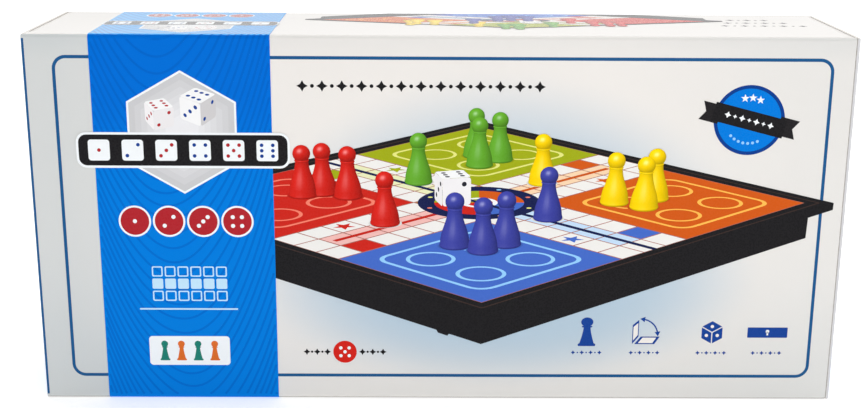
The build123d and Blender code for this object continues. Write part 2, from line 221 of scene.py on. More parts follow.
class NodeBook:
    """Adds nodes to one tree, for shaders and for geometry alike."""

    def __init__(self, tree: bpy.types.NodeTree) -> None:
        """Keeps the tree that the nodes go into."""
        self.tree = tree

    def feed(self, socket: bpy.types.NodeSocket, value: Any) -> None:
        """Links a socket to a value, or sets it to a plain number, vector or colour.

        Args:
            socket: The input.
            value: A value, another socket, or plain data.
        """
        if isinstance(value, Value):
            value = value.socket
        if isinstance(value, bpy.types.NodeSocket):
            self.tree.links.new(value, socket)
        else:
            socket.default_value = value

    def node(
        self, kind: str, settings: dict[str, Any] | None = None, inputs: dict[Any, Any] | None = None
    ) -> bpy.types.Node:
        """Adds a node.

        Args:
            kind: The node's type name.
            settings: Its own properties, which are set before its sockets; stops are a ramp's.
            inputs: Values or links by socket name or number.

        Returns:
            The new node.
        """
        made = self.tree.nodes.new(kind)
        for name, value in (settings or {}).items():
            if name == "stops":
                for index, (position, colour) in enumerate(value):
                    ends = made.color_ramp.elements
                    stop = ends[index] if index < len(ends) else ends.new(position)
                    stop.position, stop.color = position, colour
            else:
                setattr(made, name, value)
        for key, value in (inputs or {}).items():
            self.feed(made.inputs[key], value)
        return made

    def value(
        self, kind: str, output: Any = 0, settings: dict[str, Any] | None = None,
        inputs: dict[Any, Any] | None = None,
    ) -> Value:
        """Adds a node, as node does, and returns one of its outputs."""
        return Value(self, self.node(kind, settings, inputs).outputs[output])

    def math(self, operation: str, *operands: Any) -> Value:
        """Returns the result of a Math node with the operands on its sockets."""
        return self.value("ShaderNodeMath", 0, {"operation": operation}, dict(enumerate(operands)))

    def parts(self, vector: bpy.types.NodeSocket) -> tuple[Value, Value, Value]:
        """Returns a vector's X, Y and Z."""
        split = self.node("ShaderNodeSeparateXYZ", inputs={0: vector})
        return tuple(Value(self, split.outputs[axis]) for axis in range(3))


class MaterialBook(NodeBook):
    """One material's nodes, with its main shader ready and object coordinates in millimetres."""

    def __init__(self, name: str, roughness: float, **uniform: float) -> None:
        """Makes the material.

        Args:
            name: The material's name.
            roughness: The shader's roughness where nothing varies it.
            uniform: Other shader sockets, by their names with underscores.
        """
        self.material = bpy.data.materials.new(name)
        self.material.use_nodes = True
        super().__init__(self.material.node_tree)
        self.shader = next(n for n in self.tree.nodes if n.type == "BSDF_PRINCIPLED")
        self.shader.inputs["Roughness"].default_value = roughness
        for key, value in uniform.items():
            self.shader.inputs[key.replace("_", " ")].default_value = value
        self.where = self.node("ShaderNodeTexCoord").outputs["Object"]

    def place(self) -> tuple[Value, Value, Value]:
        """Returns the surface point's X, Y and Z in millimetres."""
        sockets = {0: self.where, "Scale": 1 / MM}
        return self.parts(self.node("ShaderNodeVectorMath", {"operation": "SCALE"}, sockets).outputs[0])

    def facing(self) -> tuple[Value, Value, Value]:
        """Returns the parts of the surface's direction in the piece's own frame."""
        return self.parts(self.node("ShaderNodeTexCoord").outputs["Normal"])

    def noise(
        self, size: float, detail: float = 2.0, stretch: tuple[float, float, float] = (1, 1, 1)
    ) -> Value:
        """Draws soft noise from 0 to 1.

        Args:
            size: About how many millimetres its lumps measure.
            detail: How much finer noise lies on them.
            stretch: Scale along each axis; less than 1 draws the lumps out.

        Returns:
            The noise.
        """
        drawn = self.node("ShaderNodeMapping", inputs={"Vector": self.where, "Scale": stretch})
        sockets = {"Vector": drawn.outputs[0], "Scale": 1 / (size * MM), "Detail": detail}
        return self.value("ShaderNodeTexNoise", 0, None, sockets)

    def blend(self, factor: Any, first: Any, second: Any) -> Value:
        """Returns the first colour turning into the second as the factor goes to 1."""
        sockets = {0: factor, 6: first, 7: second}
        return self.value("ShaderNodeMix", 2, {"data_type": "RGBA"}, sockets)

    def white_board(self, clouds: Value) -> Value:
        """Returns the board's coated white, cooler where the clouds are thick."""
        return self.blend(clouds, Hue.PAPER.rgba, Hue.COOL_PAPER.rgba)

    def grey_board(self, fibre: Value) -> Value:
        """Returns the grey of the board's inner side, paler along its fibres."""
        return self.blend(fibre, Hue.GREY_BACK.rgba, Hue.PALE_GREY.rgba)

    def ramp(self, value: Value, low: float, high: float) -> Value:
        """Returns 0 below low, 1 above high and a smooth rise between."""
        sockets = {"Value": value, "From Min": low, "From Max": high}
        return self.value("ShaderNodeMapRange", 0, {"interpolation_type": "SMOOTHSTEP"}, sockets)

    def top_gloss(self) -> None:
        """Coats what faces up, so that the top panel takes the sheen of low light."""
        self.feed(self.shader.inputs["Coat Weight"], TOP_COAT * (self.facing()[2] > TOP_FACING))
        self.shader.inputs["Coat Roughness"].default_value = COAT_ROUGHNESS

    def colour(self, value: Any) -> None:
        """Feeds the base colour."""
        self.feed(self.shader.inputs["Base Color"], value)

    def roughness(self, value: Value) -> None:
        """Feeds the roughness."""
        self.feed(self.shader.inputs["Roughness"], value)

    def bump(self, height: Value, depth: float) -> None:
        """Feeds the surface direction from a height of 0 to 1 that stands this many millimetres."""
        raised = self.node("ShaderNodeBump", inputs={"Height": height, "Distance": depth * MM})
        self.feed(self.shader.inputs["Normal"], raised.outputs[0])

    def printed_bump(self) -> None:
        """Lets the board's faint waves show through an ink."""
        self.bump(self.noise(*BOARD_WAVE), 0.012)


class RuleBook(NodeBook):
    """A Geometry Nodes tree with named inputs, baked to plain meshes."""

    def __init__(self, name: str) -> None:
        """Makes the tree with its geometry output.

        Args:
            name: The tree's name.
        """
        super().__init__(bpy.data.node_groups.new(name, "GeometryNodeTree"))
        self.tree.interface.new_socket("Geometry", in_out="OUTPUT", socket_type="NodeSocketGeometry")
        self.given = self.tree.nodes.new("NodeGroupInput")
        self.result = self.tree.nodes.new("NodeGroupOutput")

    def input(self, name: str, kind: str = "Float") -> Value:
        """Adds a named input and returns it."""
        self.tree.interface.new_socket(name, in_out="INPUT", socket_type="NodeSocket" + kind)
        return Value(self, self.given.outputs[name])

    def close(self, geometry: Any, material: Value) -> None:
        """Ends the tree: instances made real, one material on all of it.

        Args:
            geometry: What the tree has made.
            material: Its material.
        """
        real = self.node("GeometryNodeRealizeInstances", inputs={0: geometry})
        dressed = self.node("GeometryNodeSetMaterial", inputs={0: real.outputs[0], "Material": material})
        self.feed(self.result.inputs[0], dressed.outputs[0])

    def bake(self, name: str, values: dict[str, Any]) -> bpy.types.Mesh:
        """Runs the tree.

        Args:
            name: The mesh's name.
            values: The named inputs' values.

        Returns:
            The result as a plain mesh, with the modifier and its carrier gone.
        """
        carrier = bpy.data.objects.new(name, bpy.data.meshes.new(name + "_seed"))
        bpy.context.scene.collection.objects.link(carrier)
        modifier = carrier.modifiers.new("rule", "NODES")
        modifier.node_group = self.tree
        for item in self.tree.interface.items_tree:
            if item.in_out == "INPUT":
                modifier[item.identifier] = values[item.name]
        graph = bpy.context.evaluated_depsgraph_get()
        mesh = bpy.data.meshes.new_from_object(carrier.evaluated_get(graph), depsgraph=graph)
        mesh.name = name
        bpy.data.objects.remove(carrier)
        return mesh


# ------------------------------------------------------------------------------ finishes


@dataclass(frozen=True)
class CoatedBoard:
    """White coated board of the carton: print side, grey inside and fluted cut edges."""

    side_y: float
    top_z: float
    board: float
    flute_pitch: float = 3.2
    glow_centre: Spot = (21.0, 44.0)
    glow_side: float = 86.0
    glow_up: float = 70.0
    glow_down: float = 38.0
    slack: float = 0.05

    def material(self) -> bpy.types.Material:
        """Dresses the print side, the back, the cut edges and a lower crease darkened by painted contact
        shade.

        Returns:
            The new material.
        """
        book = MaterialBook("coated_carton_board", 0.3, Specular_IOR_Level=PRINT_SHINE)
        x, y, z = book.place()
        inner_y, inner_z = self.side_y - self.board + self.slack, self.top_z - self.board + self.slack
        inside = (abs(y) < inner_y) * (z < inner_z) * (z > self.board - self.slack)
        mottle = book.noise(34, 3)
        fibre = book.noise(1.4, 4, (1, 1, 0.35))
        grey = book.grey_board(fibre)
        board = book.blend(inside, self.print_side(book, mottle), grey)
        book.colour(book.blend(abs(book.facing()[0]) > 0.8, board, self.cut_edge(book)))
        book.roughness(0.27 + 0.1 * mottle + 0.45 * inside)
        ripple = (x * (2 * math.pi / self.flute_pitch)).math("SINE") * 0.12
        book.bump(book.noise(*BOARD_WAVE) * 0.8 + ripple + 0.25 * inside * fibre, 0.016)
        book.top_gloss()
        return book.material

    def print_side(self, book: MaterialBook, mottle: Value) -> Value:
        """Colours the printed side, with the pale-blue glow behind the picture, painted shade on the front's
        white towards its ends, its foot and its top, and painted contact shade along the lower crease.

        Args:
            book: The material's nodes.
            mottle: Soft clouds over the white.

        Returns:
            The colour.
        """
        x, y, z = book.place()
        white = book.white_board(mottle * 0.5)
        front = y < 1 - self.side_y
        # painted shade: the front's white darkens towards its left and right ends, its foot and its upper
        # crease, where the light falls off
        painted_shade = 0.8 * book.ramp(-1 * x, 60, 132) + 0.25 * book.ramp(x, 50, 136)
        painted_shade = (painted_shade + 0.3 * book.ramp(60 - z, 0, 58) + 0.2 * book.ramp(z, 118, 127)) * front
        tone = book.blend(book.math("MINIMUM", painted_shade, 1.0), white, Hue.PAPER_PAINTED_SHADE.rgba)
        across = (x - self.glow_centre[0]) / self.glow_side
        above = z - self.glow_centre[1]
        upright = book.math("MAXIMUM", above / self.glow_up, above / -self.glow_down)
        glow = (1 - book.ramp(across * across + upright * upright, 0.2, 1.15)) * front
        tone = book.blend(glow * 0.95, tone, Hue.GLOW.rgba)
        # painted shade: the lower crease darkens to grey where the carton meets the floor, standing in for
        # its contact shadow
        return book.blend(1 - book.ramp(z, 0.35, 0.9), tone, Hue.CREASE_CONTACT_SHADE.rgba)

    def cut_edge(self, book: MaterialBook) -> Value:
        """Colours the cut edges: two liners with a fine wave between.

        Args:
            book: The material's nodes.

        Returns:
            The colour.
        """
        _x, y, z = book.place()
        inner = self.side_y - self.board
        depth_in = book.math("MAXIMUM", abs(y) - inner, z - (self.top_z - self.board))
        middle = (depth_in / self.board - 0.5) * 2
        wave = 0.7 * ((y + z) * (2 * math.pi / self.flute_pitch)).math("SINE")
        flute = book.math("MAXIMUM", abs(middle) > 0.72, abs(middle - wave) < 0.3)
        return book.blend(flute, Hue.FLUTE_GREY.rgba, Hue.CUT_BOARD.rgba)


@dataclass(frozen=True)
class PrintInk:
    """One solid printed colour with a faint uneven lay of ink."""

    name: str
    hue: Hue
    roughness: float = 0.28
    unevenness: float = 0.1

    def material(self) -> bpy.types.Material:
        """Dresses a print in one colour.

        Returns:
            The new material.
        """
        book = MaterialBook(self.name, self.roughness, Specular_IOR_Level=PRINT_SHINE)
        lay = book.ramp(book.noise(9, 3), 0.25, 0.75)
        thinner = tuple(min(1.0, c * (1 + self.unevenness) + 0.002) for c in self.hue.tint)
        book.colour(book.blend(lay * 0.5, self.hue.rgba, (*thinner, 1.0)))
        book.roughness(self.roughness + 0.06 * lay)
        book.printed_bump()
        return book.material


@dataclass(frozen=True)
class BandInk:
    """The band's blue: deeper near the upper crease as painted shade, paler on the top as a painted sheen,
    darker in its lines.
    """

    name: str
    height: float
    line_share: float = 0.0

    def material(self) -> bpy.types.Material:
        """Dresses the band, or its lines.

        Returns:
            The new material.
        """
        book = MaterialBook(self.name, 0.28, Specular_IOR_Level=PRINT_SHINE)
        _x, _y, z = book.place()
        lay = book.noise(16, 3)
        low = book.blend(0.8 * (1 - z / self.height) + 0.2 * lay, Hue.BAND.rgba, Hue.BAND_LOW.rgba)
        # painted shade: the band's blue darkens towards the upper crease; below that it shifts slightly
        # towards the foot
        side = book.blend(book.ramp(z, 0.6 * self.height, 0.85 * self.height), low, Hue.BAND_CREASE_SHADE.rgba)
        # painted sheen: what faces up takes a much paler blue, standing in for the sheen of low light on the
        # top
        tone = book.blend(book.facing()[2] > TOP_FACING, side, Hue.BAND_PAINTED_SHEEN.rgba)
        book.colour(book.blend(self.line_share, tone, Hue.BAND_LINE.rgba))
        book.roughness(0.26 + 0.06 * lay)
        book.printed_bump()
        book.top_gloss()
        return book.material


@dataclass(frozen=True)
class PictureInk:
    """The printed picture's inks, whose colours lie in the mesh's own tints."""

    name: str = "picture_ink"
    coat: float = 0.0
    screen: float = 0.55

    def material(self) -> bpy.types.Material:
        """Dresses a picture, with a fine printing screen.

        Returns:
            The new material.
        """
        gloss = {"Coat_Weight": self.coat, "Coat_Roughness": COAT_ROUGHNESS}
        book = MaterialBook(self.name, 0.28, Specular_IOR_Level=PRINT_SHINE, **gloss)
        tint = book.node("ShaderNodeAttribute", {"attribute_name": TINTS}).outputs["Color"]
        grain = book.ramp(book.noise(self.screen, 1), 0.35, 0.65)
        lighter = book.blend(0.003, tint, (1, 1, 1, 1))
        book.colour(book.blend(grain, tint, lighter))
        book.roughness(0.26 + 0.06 * grain)
        book.printed_bump()
        return book.material


@dataclass(frozen=True)
class FlapPrint:
    """A tuck flap: blue wavy print outside up to a bare strip at its fold, grey board inside."""

    name: str
    outward: float
    fold_y: float
    bare_strip: float = 2.2
    line_pitch: float = 2.7
    line_share: float = 0.3

    def material(self) -> bpy.types.Material:
        """Dresses the flap's two faces, its rolled fold and its cut edges.

        Returns:
            The new material.
        """
        book = MaterialBook(self.name, 0.3, Specular_IOR_Level=PRINT_SHINE)
        _x, y, z = book.place()
        nx, ny, nz = book.facing()
        outer = (nx * self.outward) > 0.6
        inward = (nx * self.outward) < -0.6
        rolled = abs(ny) > 0.35
        away = (y - self.fold_y) * (-1 if self.fold_y > 0 else 1)
        printed = outer * (away > self.bare_strip)
        bend = (y * y * 0.02 + z * 0.9) + 5 * book.noise(38, 1)
        phase = (bend / self.line_pitch).math("FRACT")
        line = book.ramp(abs(phase - 0.5), 0.5 - self.line_share, 0.5 - self.line_share + 0.1)
        blue = book.blend(0.6 * line, Hue.BAND.rgba, Hue.BAND_LINE.rgba)
        fibre = book.noise(1.4, 4, (1, 0.35, 1))
        grey = book.grey_board(fibre)
        white = book.white_board(book.noise(20, 3) * 0.5)
        # painted shade: the bare white greys towards the fold, where the crease lies in shade
        white = book.blend(1 - book.ramp(away, 0.4, 1.6), white, Hue.PALE_GREY.rgba)
        plain = book.blend(inward, white, grey)
        edge = (abs(nz) > 0.7) * (1 - rolled)
        cut = book.blend(fibre, Hue.CUT_BOARD.rgba, Hue.FLUTE_GREY.rgba)
        book.colour(book.blend(edge, book.blend(printed, plain, blue), cut))
        book.roughness(0.3 + 0.35 * inward)
        book.bump(book.noise(*BOARD_WAVE) * 0.7 + 0.3 * inward * fibre, 0.016)
        return book.material


@dataclass(frozen=True)
class PlainBoard:
    """White-lined board of the dust flaps, grey fibres on the side that faces the carton's inside."""

    inward_limit: float = -60.0  # X direction times the place along X, in millimetres

    def material(self) -> bpy.types.Material:
        """Dresses the flap's white side and its grey side.

        Returns:
            The new material.
        """
        book = MaterialBook("plain_board", 0.55)
        inward = book.facing()[0] * book.place()[0] < self.inward_limit
        fibre = book.noise(1.2, 4, (0.4, 1, 1))
        grey = book.grey_board(fibre)
        white = book.white_board(book.noise(20, 3) * 0.6)
        book.colour(book.blend(inward, white, grey))
        book.roughness(0.5 + 0.2 * fibre)
        book.bump(fibre, 0.02)
        return book.material


@dataclass(frozen=True)
class MouldedPlastic:
    """Injection-moulded plastic with a fine spark texture or a gloss, and soft edge shine."""

    name: str
    hue: Hue
    roughness: float
    texture: float = 0.0

    def material(self) -> bpy.types.Material:
        """Dresses a moulding in faintly clouded plastic.

        Returns:
            The new material.
        """
        book = MaterialBook(self.name, self.roughness)
        cloud = book.ramp(book.noise(12, 3), 0.3, 0.7)
        paler = tuple(min(1.0, c * 1.08 + 0.003) for c in self.hue.tint)
        book.colour(book.blend(cloud, self.hue.rgba, (*paler, 1.0)))
        book.roughness(self.roughness + 0.1 * cloud)
        book.bump(book.noise(0.5, 3) * (self.texture + 0.05) + 0.2 * book.noise(14, 2), 0.03)
        return book.material


@dataclass(frozen=True)
class Steel:
    """Drawn steel wire with fine lines along it."""

    name: str
    roughness: float = 0.3

    def material(self) -> bpy.types.Material:
        """Dresses a pin or a magnet.

        Returns:
            The new material.
        """
        book = MaterialBook(self.name, self.roughness, Metallic=1.0)
        drawn = book.noise(0.6, 3, (0.06, 1, 1))
        book.colour(book.blend(drawn, (0.52, 0.53, 0.55, 1), (0.68, 0.68, 0.69, 1)))
        book.roughness(self.roughness + 0.15 * drawn)
        book.bump(drawn, 0.004)
        return book.material


@dataclass(frozen=True)
class DieFinish:
    """White die whose sunk pips are painted dark."""

    centre: tuple[float, float, float]
    half: float
    sunk: float = 0.08

    def material(self) -> bpy.types.Material:
        """Dresses the die, darker in its pips.

        Returns:
            The new material.
        """
        book = MaterialBook("die_plastic", 0.22, Coat_Weight=0.3)
        x, y, z = book.place()
        off_x, off_y, off_z = (abs(part - at) for part, at in zip((x, y, z), self.centre))
        reach = book.math("MAXIMUM", book.math("MAXIMUM", off_x, off_y), off_z)
        pip = (reach < self.half - self.sunk) * (off_x + off_y + off_z < self.half * 2.05)
        book.colour(book.blend(pip, (0.84, 0.83, 0.8, 1), Hue.BLACK.rgba))
        book.roughness(0.2 + 0.1 * book.noise(6))
        book.bump(book.noise(8, 2), 0.02)
        return book.material


@dataclass(frozen=True)
class PlaySheetPrint:
    """Half of the traditional board, printed on a steel sheet whose fold lies along its foot."""

    name: str
    own: Hue
    left: Hue
    right: Hue
    half_length: float
    fold_z: float
    line: float = 0.03
    frame_reach: float = 2.2
    spot_radius: float = 0.68

    def material(self) -> bpy.types.Material:
        """Prints two yards, the track between them and half the middle.

        Returns:
            The new material.
        """
        book = MaterialBook(self.name, 0.26, Specular_IOR_Level=0.3)
        x, _y, z = book.place()
        pitch = 2 * self.half_length / BOARD_SQUARES
        column, row = x / pitch, (z - self.fold_z) / pitch
        off = abs(column)
        rules = book.math("MAXIMUM", self.rule(column), self.rule(row))
        cells = book.blend(rules, Hue.CELL.rgba, Hue.CELL_LINE.rgba)
        outward = book.blend(column > 0, Hue.GREEN.rgba, Hue.YARD_BLUE.rgba)
        home_along = (off < 0.5) * (row > 1.5) * (row < 6.5)
        home_across = (row < 0.5) * (off > 1.5) * (off < 6.5)
        track = book.blend(home_along * (1 - rules), cells, self.own.rgba)
        track = book.blend(home_across * (1 - rules), track, outward)
        middle = book.blend(row > off, outward, self.own.rgba)
        track = book.blend((off < 1.5) * (row < 1.5), track, middle)
        yard = book.blend(column > 0, self.left.rgba, self.right.rgba)
        yard = book.blend(self.yard_lines(book, off, row), yard, Hue.INK_WHITE.rgba)
        book.colour(book.blend((off > 1.5) * (row > 1.5), track, yard))
        book.roughness(0.24 + 0.08 * book.noise(6, 2))
        book.bump(book.noise(9, 2) + 0.4 * rules, 0.01)
        return book.material

    def rule(self, along: Value) -> Value:
        """Returns 1 on the thin lines between squares."""
        return abs((along + 0.5).math("FRACT") - 0.5) > 0.5 - self.line

    def yard_lines(self, book: MaterialBook, off: Value, row: Value) -> Value:
        """Marks a yard's frame and the rings of its four spots.

        Args:
            book: The material's nodes.
            off: Squares to the side of the middle column.
            row: Squares up from the fold.

        Returns:
            1 on the lines and 0 elsewhere.
        """
        across, upright = abs(off - YARD_MIDDLE), abs(row - YARD_MIDDLE)
        reach = book.math("MAXIMUM", across, upright)
        frame = abs(reach - self.frame_reach) < 0.07
        from_x, from_z = across - SPOT_OFFSET, upright - SPOT_OFFSET
        spot = (from_x * from_x + from_z * from_z).math("SQRT")
        return book.math("MAXIMUM", frame, abs(spot - self.spot_radius) < 0.05)


@dataclass(frozen=True)
class LeafletPaper:
    """Thin uncoated paper with fine fibres and a soft fold."""

    def material(self) -> bpy.types.Material:
        """Dresses the leaflet.

        Returns:
            The new material.
        """
        book = MaterialBook("leaflet_paper", 0.8)
        fibre = book.noise(0.9, 5)
        book.colour(book.blend(fibre, (0.8, 0.79, 0.76, 1), (0.72, 0.71, 0.68, 1)))
        book.roughness(0.7 + 0.2 * fibre)
        book.bump(fibre + 0.5 * book.noise(24, 1), 0.03)
        return book.material


# ------------------------------------------------------------------------------ outlines


def polar(cx: float, cy: float, radius: float, degrees: float) -> Spot:
    """Returns the point that lies this far from a middle, in this direction."""
    a = math.radians(degrees)
    return cx + radius * math.cos(a), cy + radius * math.sin(a)


def arc(cx: float, cy: float, radius: float, start: float, end: float, steps: int) -> Loop:
    """Returns points along an arc whose ends are given in degrees."""
    return [polar(cx, cy, radius, start + (end - start) * k / steps) for k in range(steps + 1)]


def circle(cx: float, cy: float, radius: float, steps: int = 40) -> Loop:
    """Returns a full circle's points."""
    return arc(cx, cy, radius, 0, 360, steps)[:-1]


def rounded(x0: float, y0: float, x1: float, y1: float, radius: float, steps: int = 6) -> Loop:
    """Draws a rectangle with round corners.

    Args:
        x0: Its left edge.
        y0: Its lower edge.
        x1: Its right edge.
        y1: Its upper edge.
        radius: Radius of its corners.
        steps: Steps round each corner.

    Returns:
        The outline.
    """
    corners = ((x1, y1, -1, -1, 0), (x0, y1, 1, -1, 90), (x0, y0, 1, 1, 180), (x1, y0, -1, 1, 270))
    points: Loop = []
    for x, y, sx, sy, turn in corners:
        points += arc(x + sx * radius, y + sy * radius, radius, turn, turn + 90, steps)
    return points


def tile(cx: float, cy: float, half: float, radius: float, steps: int = 6) -> Loop:
    """Returns the outline of a square with round corners about its middle."""
    return rounded(cx - half, cy - half, cx + half, cy + half, radius, steps)


def star(cx: float, cy: float, radius: float, points: int = 5, waist: float = 0.42, turn: float = 90) -> Loop:
    """Returns a star's outline."""
    reaches = (radius, radius * waist)
    return [polar(cx, cy, reaches[k % 2], turn + 180 * k / points) for k in range(2 * points)]


def middle(loop: Loop) -> Spot:
    """Returns the mean of an outline's points."""
    return sum(x for x, _y in loop) / len(loop), sum(y for _x, y in loop) / len(loop)


def shrunk(loop: Loop, share: float) -> Loop:
    """Returns an outline drawn in to this share of its size about its middle."""
    mx, my = middle(loop)
    return [(mx + (x - mx) * share, my + (y - my) * share) for x, y in loop]


def moved(loop: Loop, dx: float, dy: float, degrees: float = 0.0) -> Loop:
    """Returns a loop turned about the origin and then shifted."""
    c, s = math.cos(math.radians(degrees)), math.sin(math.radians(degrees))
    return [(x * c - y * s + dx, x * s + y * c + dy) for x, y in loop]


@dataclass(frozen=True)
class PawnShape:
    """Outline of a playing piece: round foot, hollow-sided skirt, collar and ball head."""

    height: float = 28.0
    foot_radius: float = 6.5
    foot_height: float = 2.8
    skirt_radius: float = 5.3
    waist_radius: float = 2.5
    waist_height: float = 18.2
    collar_radius: float = 3.8
    collar_height: float = 1.6
    head_radius: float = 4.5
    flare: float = 1.35
    bell: float = 0.0  # 1.0 makes the skirt a full bell curve

    def profile(self, height: float = 28.0, steps: int = 8) -> Loop:
        """Works out the turned profile.

        Args:
            height: Height that it is scaled to.
            steps: Steps up the skirt.

        Returns:
            (radius, height) points from the rim of the foot to the crown.
        """
        points = [(self.foot_radius - 0.5, 0.0), (self.foot_radius, 0.6)]
        points += [(self.foot_radius, self.foot_height - 0.8), (self.skirt_radius, self.foot_height)]
        for k in range(1, steps + 1):
            t = k / steps
            hollow, bell = (1 - t) ** self.flare, (1 + math.cos(math.pi * t)) / 2
            spread = hollow + (bell - hollow) * self.bell
            radius = self.waist_radius + (self.skirt_radius - self.waist_radius) * spread
            points.append((radius, self.foot_height + (self.waist_height - self.foot_height) * t))
        points.append((self.collar_radius, self.waist_height + 0.25))
        points.append((self.collar_radius, self.waist_height + self.collar_height - 0.25))
        centre = self.height - self.head_radius
        start = math.degrees(math.asin((self.waist_height + self.collar_height - centre) / self.head_radius))
        points += [(r, centre + z) for r, z in arc(0, 0, self.head_radius, start, 90, 2 * steps)[:-1]]
        share = height / self.height
        return [(r * share, z * share) for r, z in points]

    def outline(self, cx: float, base: float, height: float) -> Loop:
        """Returns the piece's flat silhouette, standing at (cx, base) and this high."""
        right = self.profile(height)
        return moved([*right, (0.0, height), *((-r, z) for r, z in reversed(right))], cx, base)


# -------------------------------------------------------------------- carton's outer skin


class Panel(Enum):
    """The panels that carry print."""

    FRONT = "front"
    TOP = "top"
    BACK = "back"


@dataclass(frozen=True)
class Skin:
    """The carton's outer surface, and how far the inks lie inside its box.

    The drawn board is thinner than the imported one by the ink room, so that every ink
    ends inside the box of the real carton.
    """

    half_length: float
    side_y: float
    top_z: float
    board: float = 1.2
    crease: float = 1.6
    ink_room: float = 0.24

    def place(self, panel: Panel, u: float, v: float, level: float) -> Vector:
        """Returns where a point of the print lies.

        Args:
            panel: The panel that is printed on.
            u: Distance to the right of the panel's middle, as the reader sees it.
            v: Height on the panel, or on the top the distance from its front edge.
            level: Height of the ink above the drawn board.

        Returns:
            The point in metres.
        """
        rise = level - self.ink_room
        if panel is Panel.FRONT:
            return Vector((u, -self.side_y - rise, v)) * MM
        if panel is Panel.BACK:
            return Vector((-u, self.side_y + rise, v)) * MM
        return Vector((u, v - self.side_y, self.top_z + rise)) * MM

    @property
    def turn(self) -> float:
        """Length of the outer surface round one crease."""
        return math.pi / 2 * self.crease

    @property
    def reach(self) -> float:
        """Length of the way from the foot of the front, over the top, to the foot of the back."""
        return 2 * (self.top_z - 2 * self.crease) + 2 * (self.side_y - self.crease) + 2 * self.turn

    def wrap(self, x: float, along: float, level: float) -> Vector:
        """Returns a point of a print that follows the creases.

        Args:
            x: Its place along the carton.
            along: How far it lies along the way round; less than 0 goes round the lower crease.
            level: Height of the ink above the drawn board.

        Returns:
            The point in metres.
        """
        rise = level - self.ink_room
        middle = self.side_y - self.crease
        upright = self.top_z - 2 * self.crease
        side = -1.0
        if along > self.reach / 2:
            along, side = self.reach - along, 1.0
        if along < 0:
            a = -along / self.crease
            fade = math.cos(a)
            r = self.crease + level * fade - self.ink_room * fade * fade
            return Vector((x, side * (middle + r * fade), self.crease - r * math.sin(a))) * MM
        if along <= upright:
            return Vector((x, side * (self.side_y + rise), self.crease + along)) * MM
        if along <= upright + self.turn:
            a = (along - upright) / self.crease
            r = self.crease + rise
            y = middle + r * math.cos(a)
            return Vector((x, side * y, self.top_z - self.crease + r * math.sin(a))) * MM
        inset = along - upright - self.turn
        return Vector((x, side * (middle - inset), self.top_z + rise)) * MM


# --------------------------------------------------------------------- meshes and drawing


def finish_piece(mesh: bpy.types.Mesh, name: str, material: bpy.types.Material) -> bpy.types.Object:
    """Puts a mesh in the scene as one printed piece of the carton.

    Args:
        mesh: Its mesh, in metres and in place.
        name: The piece's name.
        material: Its finish.

    Returns:
        The new object.
    """
    mesh.materials.clear()
    mesh.materials.append(material)
    piece = bpy.data.objects.new(name, mesh)
    bpy.context.scene.collection.objects.link(piece)
    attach(piece, CARTON_BODY)
    LOG.info("%s: %d faces on %s", name, len(mesh.polygons), CARTON_BODY)
    return piece


